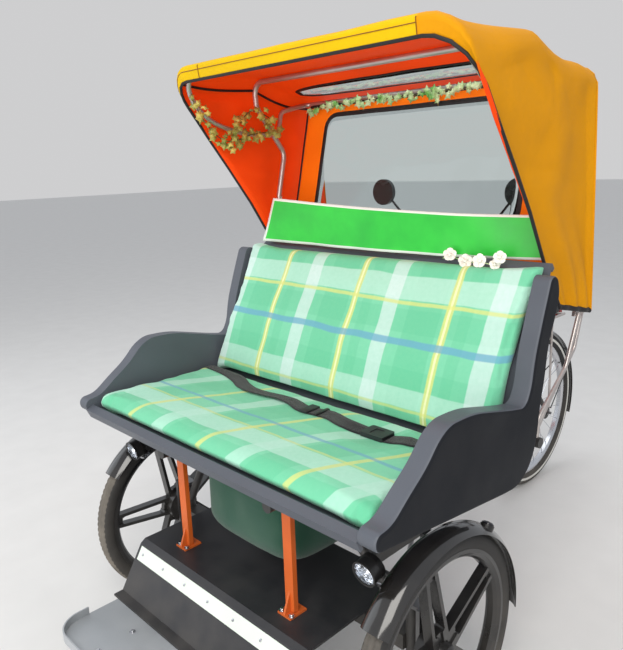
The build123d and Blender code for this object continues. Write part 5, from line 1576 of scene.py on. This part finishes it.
@dataclass
class Tyre:
    """One tyre with a grooved tread, by the node that it stands for."""

    maker: Maker
    node: str
    body: str
    radius: float
    half: float
    height: float
    steps: int = 300
    lined: bool = False

    def outline(self) -> Outline:
        """Gives half the section and mirrors it: bead, sidewall, shoulder, tread with two grooves."""
        r, w, h = self.radius, self.half, self.height
        side = [(-0.58 * w, r - 0.95 * h), (-0.80 * w, r - 0.86 * h), (-0.97 * w, r - 0.62 * h),
                (-w, r - 0.42 * h), (-0.93 * w, r - 0.24 * h), (-0.80 * w, r - 0.115 * h),
                (-0.66 * w, r - 0.055 * h), (-0.42 * w, r - 0.018 * h), (-0.36 * w, r - 0.045 * h),
                (-0.27 * w, r - 0.045 * h), (-0.21 * w, r - 0.006 * h), (0, r)]
        return side + [(-a, b) for a, b in reversed(side[:-1])]

    def build(self) -> None:
        """Builds the tyre."""
        low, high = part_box(self.node)
        centre = (low + high) / 2
        axis = Vector((1, 0, 0))
        mesh = bmesh.new()
        section = self.outline()
        spun(mesh, section + [section[0]], centre, axis, self.steps)
        tread = self.radius - 0.13 * self.height
        for vert in mesh.verts:
            rel = vert.co - centre
            out = math.hypot(rel.y, rel.z)
            if out < tread:
                continue
            step = round(math.atan2(rel.z, rel.y) / math.tau * self.steps)
            offset = 1 if rel.x > 0.2 * self.half else 0
            if (step + offset) % 3 == 0 and abs(rel.x) > 0.15 * self.half:
                scale = (out - 0.0022) / out
                vert.co = Vector((vert.co.x, centre.y + rel.y * scale, centre.z + rel.z * scale))
        for face in mesh.faces:
            rel = face.calc_center_median() - centre
            out = math.hypot(rel.y, rel.z)
            face.material_index = 0 if out > self.radius - 0.16 * self.height else 1
            if self.lined and self.radius - 0.62 * self.height < out < self.radius - 0.42 * self.height:
                face.material_index = 2
        finishes = ["tread_rubber", "side_rubber", "reflective_line"]
        made = self.maker.piece(f"{self.node}_cover", mesh, finishes, "tyre", 38, body=self.body)
        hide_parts(self.node)


@dataclass
class FrontLamps:
    """A headlamp and a marker lamp on one front fender."""

    maker: Maker
    side: int
    body: str
    x: float = 0.474
    y: float = -0.166
    z: float = 0.566
    radius: float = 0.030
    length: float = 0.046
    dip: float = 12.0
    marker_turn: float = 56.0
    marker_x: float = 0.553
    marker_radius: float = 0.017
    wheel_radius: float = 0.293
    crown: float = 0.311

    def __post_init__(self) -> None:
        """Sets up the headlamp's middle and the way it looks."""
        dip = math.radians(self.dip)
        self.way = Vector((0, -math.cos(dip), -math.sin(dip)))
        self.middle = at(self.side * self.x, self.y, self.z)

    def turned(self, outline: Outline, steps: int = 40) -> BMesh:
        """Turns an outline, given as shares of the half length and the radius, about the headlamp's axis."""
        mesh = bmesh.new()
        half = self.length / 2
        spun(mesh, [(a * half, r * self.radius) for a, r in outline], self.middle, self.way, steps)
        return mesh

    def housing(self) -> BMesh:
        """Builds the headlamp's shell with its cooling ribs."""
        mesh = self.turned([(-1, 0), (-1, 0.42), (-0.86, 0.66), (-0.45, 0.9), (0, 0.985), (0.82, 1),
                            (0.86, 1.04), (1, 1.04), (1, 0.9), (0.8, 0.88)])
        r, half = self.radius, self.length / 2
        for k in range(5):
            front, rear = -half * (0.1 + k * 0.12), -half * (0.14 + k * 0.12)
            rib = [(front, r * 0.9), (front, r * 1.02), (rear, r * 1.02), (rear, r * 0.9)]
            spun(mesh, rib, self.middle, self.way, 40)
        return mesh

    def glass(self) -> BMesh:
        """Builds the headlamp's front glass with a ring of six lenses."""
        mesh = self.turned([(0.84, 0.9), (0.97, 0.82), (1.10, 0.5), (1.14, 0.0)])
        r = self.radius
        side = self.way.orthogonal().normalized()
        across = self.way.cross(side)
        for k in range(6):
            turn = math.tau * (k + 0.5) / 6
            out = side * math.cos(turn) + across * math.sin(turn)
            spot = self.middle + self.way * (self.length / 2) + out * r * 0.46
            spun(mesh, [(0.0, r * 0.24), (0.0022, r * 0.18), (0.003, 0.0)], spot, self.way, 6)
        return mesh

    def bracket(self) -> BMesh:
        """Builds the flat bracket below the headlamp with its three bolts."""
        mesh = bmesh.new()
        foot = at(self.side * (self.x + 0.028), self.y + 0.028, self.z - 0.052)
        knee = at(self.side * (self.x + 0.006), self.y + 0.012, self.z - 0.040)
        top = self.middle - Vector((0, 0, self.radius * 0.92))
        tube(mesh, smooth_line([top, knee, foot], 14), 0.0075, 10, flat=0.35)
        bolt(mesh, self.middle - Vector((0, 0, self.radius * 0.97)), Vector((0, 0, -1)), 0.0045, 0.005)
        for k in range(2):
            spot = foot + Vector((-self.side * 0.004, 0.004 + 0.014 * k, 0.004 + 0.004 * k))
            bolt(mesh, spot, Vector((-self.side * 0.8, -0.35, 0.5)), 0.0048, 0.005)
        return mesh

    def marker(self) -> BMesh:
        """Builds the marker lamp on the fender's crown, with its lens as the second finish."""
        mesh = bmesh.new()
        turn = math.radians(self.marker_turn)
        out = Vector((0, math.cos(turn), math.sin(turn)))
        base = at(self.side * self.marker_x, 0, self.wheel_radius) + out * (self.crown - 0.005)
        m = self.marker_radius
        foot = [(-0.010, 0.0), (-0.010, m * 0.92), (0.004, m), (0.007, m), (0.0075, m * 0.9)]
        lens = [(0.0068, m * 0.9), (0.0105, m * 0.86), (0.0135, m * 0.6), (0.0148, 0.0)]
        for outline in (foot, lens):
            spun(mesh, outline, base, out, 32)
        for face in mesh.faces:
            if (face.calc_center_median() - base).dot(out) > 0.0072:
                face.material_index = 1
        return mesh

    def build(self, node: str) -> None:
        """Builds both lamps and the headlamp's bracket for a node."""
        bowl = self.turned([(-0.3, 0.0), (-0.2, 0.35), (0.15, 0.66), (0.78, 0.89)], 12)
        made = [
            self.maker.piece(f"{node}_{name}", mesh, finishes, "lamp", sharp, body=self.body)
            for name, mesh, finishes, sharp in (
                ("housing", self.housing(), ["lamp_black"], 35), ("reflector", bowl, ["reflector"], 8),
                ("glass", self.glass(), ["lamp_glass"], 20), ("bracket", self.bracket(), ["bright_bolt"], 35),
                ("marker", self.marker(), ["lamp_black", "lens_smoke"], 30),
            )
        ]
        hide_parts(node)


# Trim


@dataclass
class Ivy:
    """A garland of artificial ivy: a thin vine with leaves along a line."""

    maker: Maker
    name: str
    finish: str
    seed: int
    leaf: float = 0.016

    def add_leaf(self, mesh: BMesh, spot: Vector, facing: Vector, turn: float, size: float) -> None:
        """Adds one five-pointed leaf, folded a little along its middle."""
        lobes = (1.0, 0.52, 0.86, 0.46, 0.66, 0.30, 0.66, 0.46, 0.86, 0.52)
        ring = bmesh.ops.create_circle(mesh, cap_ends=True, cap_tris=True, radius=size, segments=10)["verts"]
        rim = [v for v in ring if v.co.length > size * 0.5]
        for vert in rim:
            angle = math.atan2(vert.co.x, vert.co.y)
            reach = lobes[round(angle / math.tau * 10) % 10]
            x, y = vert.co.x, vert.co.y
            vert.co = Vector((x * reach, y * reach, -abs(x) * 0.35 - y ** 2 * 9))
        bmesh.ops.transform(mesh, matrix=aimed(spot, facing) @ Matrix.Rotation(turn, 4, "Z"), verts=ring)

    def build(self, lines: list[Points], per_metre: float, facing: Vector, spread: float) -> None:
        """Builds the vine and its leaves.

        Args:
            lines: The vine's runs.
            per_metre: How many leaves a metre carries.
            facing: The way the leaves look on the whole.
            spread: How far leaves sit from the vine.
        """
        dice = random.Random(self.seed)
        mesh = bmesh.new()
        for points in lines:
            length = sum((b - a).length for a, b in zip(points, points[1:]))
            line = smooth_line(points, max(12, int(length * 60)))
            before = set(mesh.faces)
            tube(mesh, line, 0.0013, 5)
            for face in set(mesh.faces) - before:
                face.material_index = 1
            count = int(length * per_metre)
            for i in range(count):
                spot = along(line, (i + dice.random()) / count)
                drift = Vector((dice.uniform(-1, 1), dice.uniform(-0.4, 0.4), dice.uniform(-1, 1))) * spread
                drift += facing * dice.uniform(0.004, 0.016)
                look = facing + Vector([dice.uniform(-1, 1) for _ in range(3)]) * 0.55
                turn = dice.uniform(0, math.tau)
                self.add_leaf(mesh, spot + drift, look, turn, self.leaf * dice.uniform(0.7, 1.25))
        bmesh.ops.recalc_face_normals(mesh, faces=mesh.faces)
        made = self.maker.piece(self.name, mesh, [self.finish, "vine_brown"], "hood_cloth", 25)
        solidify(made, 0.0007)


@dataclass
class Blossoms:
    """A few white artificial blossoms above the seat back."""

    maker: Maker
    spots: tuple[Triple, ...]
    size: float = 0.015

    def build(self) -> None:
        """Builds the blossoms, each of five cupped petals round a button, and a thin stem."""
        dice = random.Random(5)
        mesh = bmesh.new()
        heads = [at(*spot) for spot in self.spots]
        for head in heads:
            facing = Vector((0.45 + dice.uniform(-0.3, 0.3), -1.0, 0.35 + dice.uniform(-0.3, 0.3)))
            place = aimed(head, facing.normalized())
            size = self.size * dice.uniform(0.85, 1.2)
            for k in range(5):
                petal = bmesh.ops.create_circle(
                    mesh, cap_ends=True, cap_tris=True, radius=size * 0.62, segments=9
                )["verts"]
                for vert in petal:
                    vert.co.z = (vert.co.x ** 2 + vert.co.y ** 2) * 28
                tilt = Matrix.Rotation(math.tau * k / 5, 4, "Z") @ Matrix.Translation((0, size * 0.62, 0))
                bmesh.ops.transform(mesh, matrix=place @ tilt @ Matrix.Rotation(0.45, 4, "X"), verts=petal)
            bmesh.ops.create_uvsphere(
                mesh, u_segments=8, v_segments=6, radius=size * 0.24,
                matrix=place @ Matrix.Translation((0, 0, size * 0.12)),
            )
        petals = self.maker.piece("blossoms", mesh, ["petal_white"], "banner_cloth", 35)
        solidify(petals, 0.0006)
        stem = bmesh.new()
        tube(stem, smooth_line([at(0.25, 0.418, 1.144)] + [h + Vector((0, 0.008, -0.004)) for h in heads]
                               + [at(0.44, 0.420, 1.150)], 40), 0.0012, 5)
        self.maker.piece("blossom_stem", stem, ["ivy_fresh"], "banner_cloth")


@dataclass
class SmallParts:
    """Bolts, the toe strip's rivets and other small fittings."""

    maker: Maker

    def bolts(self) -> None:
        """Adds the bolts of the legs, the footplate and the stays."""
        mesh = bmesh.new()
        up = Vector((0, 0, 1))
        deck_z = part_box("floor_deck")[1].z + 0.005
        for side in (-1, 1):
            out = Vector((side, 0, 0))
            for x, y, z, way, radius, height in (
                (0.205, -0.188, deck_z, up, 0.006, 0.006), (0.239, -0.188, deck_z, up, 0.006, 0.006),
                (0.17, -0.50, 0.200, up, 0.0055, 0.005), (0.17, -0.40, 0.200, up, 0.0055, 0.005),
                (0.5055, 0.715, 0.978, out, 0.006, 0.006), (0.5055, 0.765, 0.978, out, 0.006, 0.006),
            ):
                bolt(mesh, at(side * x, y, z), way, radius, height)
        self.maker.piece("chassis_bolts", mesh, ["bright_bolt"], "bright_steel", 30)

    def strip_rivets(self) -> None:
        """Adds the flat rivets that hold the blank strip on the toe board."""
        low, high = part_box("toe_strip")
        middle = (low + high) / 2
        out = Vector((0, -(high.z - low.z), high.y - low.y)).normalized()
        mesh = bmesh.new()
        for i in range(7):
            x = low.x + 0.02 + (high.x - low.x - 0.04) * i / 6
            spot = Vector((x, middle.y, middle.z)) + out * 0.0007
            spun(mesh, [(0, 0.0045), (0.0012, 0.0042), (0.0019, 0.002), (0.002, 0.0)], spot, out, 12)
        self.maker.piece("strip_rivets", mesh, ["bright_bolt"], "bright_steel", 30)


# Stage


@dataclass(frozen=True)
class Lamp:
    """One soft lamp of the stage: its place, what it aims at, its size in metres, its power and its tone."""

    name: str
    spot: Triple
    aim: Triple
    size: float
    power: float
    tone: Triple

    def build(self) -> None:
        """Adds the lamp to the stage."""
        data = bpy.data.lights.new(self.name, "AREA")
        data.size = self.size
        data.energy = self.power
        data.color = self.tone
        made = placed(self.name, data)
        made.matrix_world = aimed(Vector(self.spot), Vector(self.aim) - Vector(self.spot), "-Z")


LAMPS = (
    Lamp("key", (2.6, -3.4, 4.2), (0, -0.2, 0.8), 3.0, 150, (1.0, 0.97, 0.92)),
    Lamp("top", (-0.6, 0.2, 4.6), (0, -0.2, 0.8), 3.4, 50, (0.95, 0.98, 1.0)),
    Lamp("fill", (-3.2, -2.6, 1.8), (0, -0.3, 0.7), 3.0, 25, (0.9, 0.95, 1.0)),
    Lamp("front", (0.9, -4.2, 0.9), (0, -0.3, 1.3), 2.4, 70, (1.0, 0.98, 0.95)),
)


@dataclass
class Stage:
    """The floor, the soft lights and the camera."""

    position: Triple = (1.297, -1.761, 1.404)
    azimuth: float = 45.661
    pitch: float = 13.469
    roll: float = -1.985
    lens: float = 36.795
    sky_strength: float = 0.72

    def camera(self) -> None:
        """Places the camera."""
        a, p, r = (math.radians(v) for v in (self.azimuth, self.pitch, self.roll))
        ahead = Vector((-math.sin(a) * math.cos(p), math.cos(a) * math.cos(p), -math.sin(p)))
        flat = Vector((math.cos(a), math.sin(a), 0))
        up = flat.cross(ahead)
        right = flat * math.cos(r) + up * math.sin(r)
        top = up * math.cos(r) - flat * math.sin(r)
        data = bpy.data.cameras.new("camera")
        data.lens = self.lens
        data.sensor_width = 36
        made = placed("camera", data)
        axes = Matrix((right, top, -ahead)).transposed().to_4x4()
        made.matrix_world = Matrix.Translation(self.position) @ axes
        bpy.context.scene.camera = made

    def floor(self) -> None:
        """Adds the plain pale floor."""
        mesh = bmesh.new()
        bmesh.ops.create_grid(mesh, x_segments=1, y_segments=1, size=40)
        data = bpy.data.meshes.new("floor")
        mesh.to_mesh(data)
        mesh.free()
        work = Surface("floor_pale")
        grain = work.graph.group(GRAIN, Place=work.place, Scale=30.0)
        shade = work.graph.blend(grain.outputs["Mottle"], rgb(216, 214, 211), rgb(226, 224, 221))
        work.feed("Base Color", shade)
        work.set(Roughness=0.9)
        data.materials.append(work.material)
        placed("floor", data)

    def sky(self) -> None:
        """Sets a soft, even sky that the camera sees as a pale backdrop."""
        world = bpy.data.worlds.new("studio")
        world.use_nodes = True
        graph = Graph(world.node_tree)
        back = world.node_tree.nodes["Background"]
        path = graph.add("ShaderNodeLightPath")
        seen = graph.math("MAXIMUM", path.outputs["Is Camera Ray"], path.outputs["Is Transmission Ray"])
        graph.join(graph.blend(seen, (0.82, 0.85, 0.90, 1), (0.86, 0.86, 0.87, 1)), back.inputs["Color"])
        back.inputs["Strength"].default_value = self.sky_strength
        bpy.context.scene.world = world

    def build(self) -> None:
        """Builds the stage."""
        self.floor()
        self.sky()
        for lamp in LAMPS:
            lamp.build()
        bpy.context.scene.view_settings.view_transform = "Standard"
        self.camera()


# Frame

# The seat shell's side faces lie outside SHELL_SIDE_X and get a darker copy of the shell plastic as painted
# shade. The mirrors' glasses are in their top MIRROR_TOP and within MIRROR_DEPTH of their rear.
SHELL_SIDE_X = 0.5825
MIRROR_TOP = 0.1
MIRROR_DEPTH = 0.03

FRAME_FINISHES = {
    "frame_black": ("cabin_frame", "rear_frame", "steering_column"),
    "leg_orange": ("frame_legs",),
    "toe_board_black": ("floor_deck",),
    "strip_white": ("toe_strip",),
    "footplate_grey": ("footplate",),
    "shell_plastic": ("seat_pan", "seat_back", "seat_side_left", "seat_side_right"),
    "tube_steel": ("hood_bow_front", "hood_bow_main", "hood_bow_rear", "hood_stays", "rear_rack", "seat_post",
                   "handlebar"),
    "machined_steel": ("tie_rod", "drag_link", "rear_axle", "crank_set", "drive_chain", "hand_levers",
                       "knuckle_left", "knuckle_right"),
    "rim_silver": ("rear_wheel",),
    "wheel_black": ("front_wheel_left", "front_wheel_right"),
    "motor_grey": ("drive_motor",),
    "fender_black": ("rear_fender", "front_fender_left", "front_fender_right"),
    "lens_red": ("rear_lamp",),
    "saddle_hide": ("saddle",),
    "grip_rubber": ("bar_grips",),
    "lamp_black": ("mirrors",),
    "case_black": ("belt_buckle", "battery", "pedal_left", "pedal_right"),
}
# Nodes that a piece stands for; their finish isn't seen.
REPLACED = ("storage_bag", "seat_cushion", "back_cushion", "lap_belt", "hood_canopy", "rear_panel",
            "hood_windows", "banner", "rear_tyre", "front_tyre_left", "front_tyre_right", "front_lamps_left",
            "front_lamps_right")


def second_finish(node: str, material: Material, chosen: Callable[[bpy.types.MeshPolygon], bool]) -> None:
    """Gives some faces of a CAD node a second material.

    Args:
        node: The node's name.
        material: The second material.
        chosen: Tells whether a face gets it.
    """
    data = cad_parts[node].data
    data.materials.append(material)
    for face in data.polygons:
        if chosen(face):
            face.material_index = 1


def dress_frame(maker: Maker) -> None:
    """Gives every CAD node its finish, those that a piece stands for too."""
    nodes = {node: finish for finish, names in FRAME_FINISHES.items() for node in names}
    maker.dress(nodes)
    for side in ("left", "right"):
        # The outward side faces get the darker copy of the shell plastic as painted shade.
        second_finish(f"seat_side_{side}", maker.paint["shell_dark"],
                      lambda face: abs(face.center.x) > SHELL_SIDE_X and abs(face.normal.x) > 0.6)
    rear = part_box("mirrors")[1]
    second_finish("mirrors", maker.paint["mirror_face"], lambda face: face.normal.y > 0.9
                  and face.center.z > rear.z - MIRROR_TOP and face.center.y > rear.y - MIRROR_DEPTH)
    maker.dress(dict.fromkeys(REPLACED, "case_black"))
    LOG.info("dressed %d nodes", len(nodes))


def garlands(maker: Maker) -> None:
    """Hangs the ivy along the far side and under the roof, and the blossoms above the seat back."""
    side_runs = (((0.140, 1.619), (0.176, 1.545), (0.270, 1.476), (0.381, 1.522), (0.508, 1.523)),
                 ((0.270, 1.476), (0.330, 1.560), (0.387, 1.603), (0.470, 1.560)))
    old = [[at(-0.485, y, z) for y, z in run] for run in side_runs]
    Ivy(maker, "ivy_left", "ivy_old", 3, 0.018).build(old, 105, Vector((0.8, -0.6, 0.1)), 0.020)
    roof_runs = ((0.630, ((-0.47, 1.592), (-0.329, 1.603), (-0.131, 1.606), (0.084, 1.604), (0.143, 1.610),
                          (0.30, 1.604))),
                 (0.628, ((0.070, 1.604), (0.085, 1.566))))
    top = [[at(x, y, z) for x, z in run] for y, run in roof_runs]
    Ivy(maker, "ivy_top", "ivy_fresh", 11, 0.016).build(top, 95, Vector((0.3, -1.0, -0.1)), 0.011)
    heads = ((0.279, 1.156), (0.327, 1.142), (0.372, 1.146), (0.416, 1.140), (0.430, 1.160))
    Blossoms(maker, tuple((x, 0.410, z) for x, z in heads)).build()


def main() -> None:
    """Builds the scene piece by piece."""
    logging.basicConfig(level=logging.INFO, format="%(message)s")
    maker = Maker(Paintbox())
    dress_frame(maker)
    Hood(maker).build()
    LOG.info("hood")
    RearPanel(maker).build()
    Banner(maker).build()
    LOG.info("rear panel and banner")
    cushion = SeatCushion(maker).build()
    BackCushion(maker).build()
    LapBelt(maker).build(cushion)
    StorageBag(maker).build()
    LOG.info("seat")
    for side, name in ((1, "left"), (-1, "right")):
        Tyre(maker, f"front_tyre_{name}", f"front_wheel_{name}_body", 0.293, 0.026, 0.050).build()
        FrontLamps(maker, side, f"knuckle_{name}_body").build(f"front_lamps_{name}")
    Tyre(maker, "rear_tyre", "rear_wheel_body", 0.340, 0.025, 0.050, steps=320, lined=True).build()
    LOG.info("wheels and lamps")
    garlands(maker)
    small = SmallParts(maker)
    small.bolts()
    small.strip_rivets()
    LOG.info("trim")
    Stage().build()


if __name__ == "__main__":
    main()
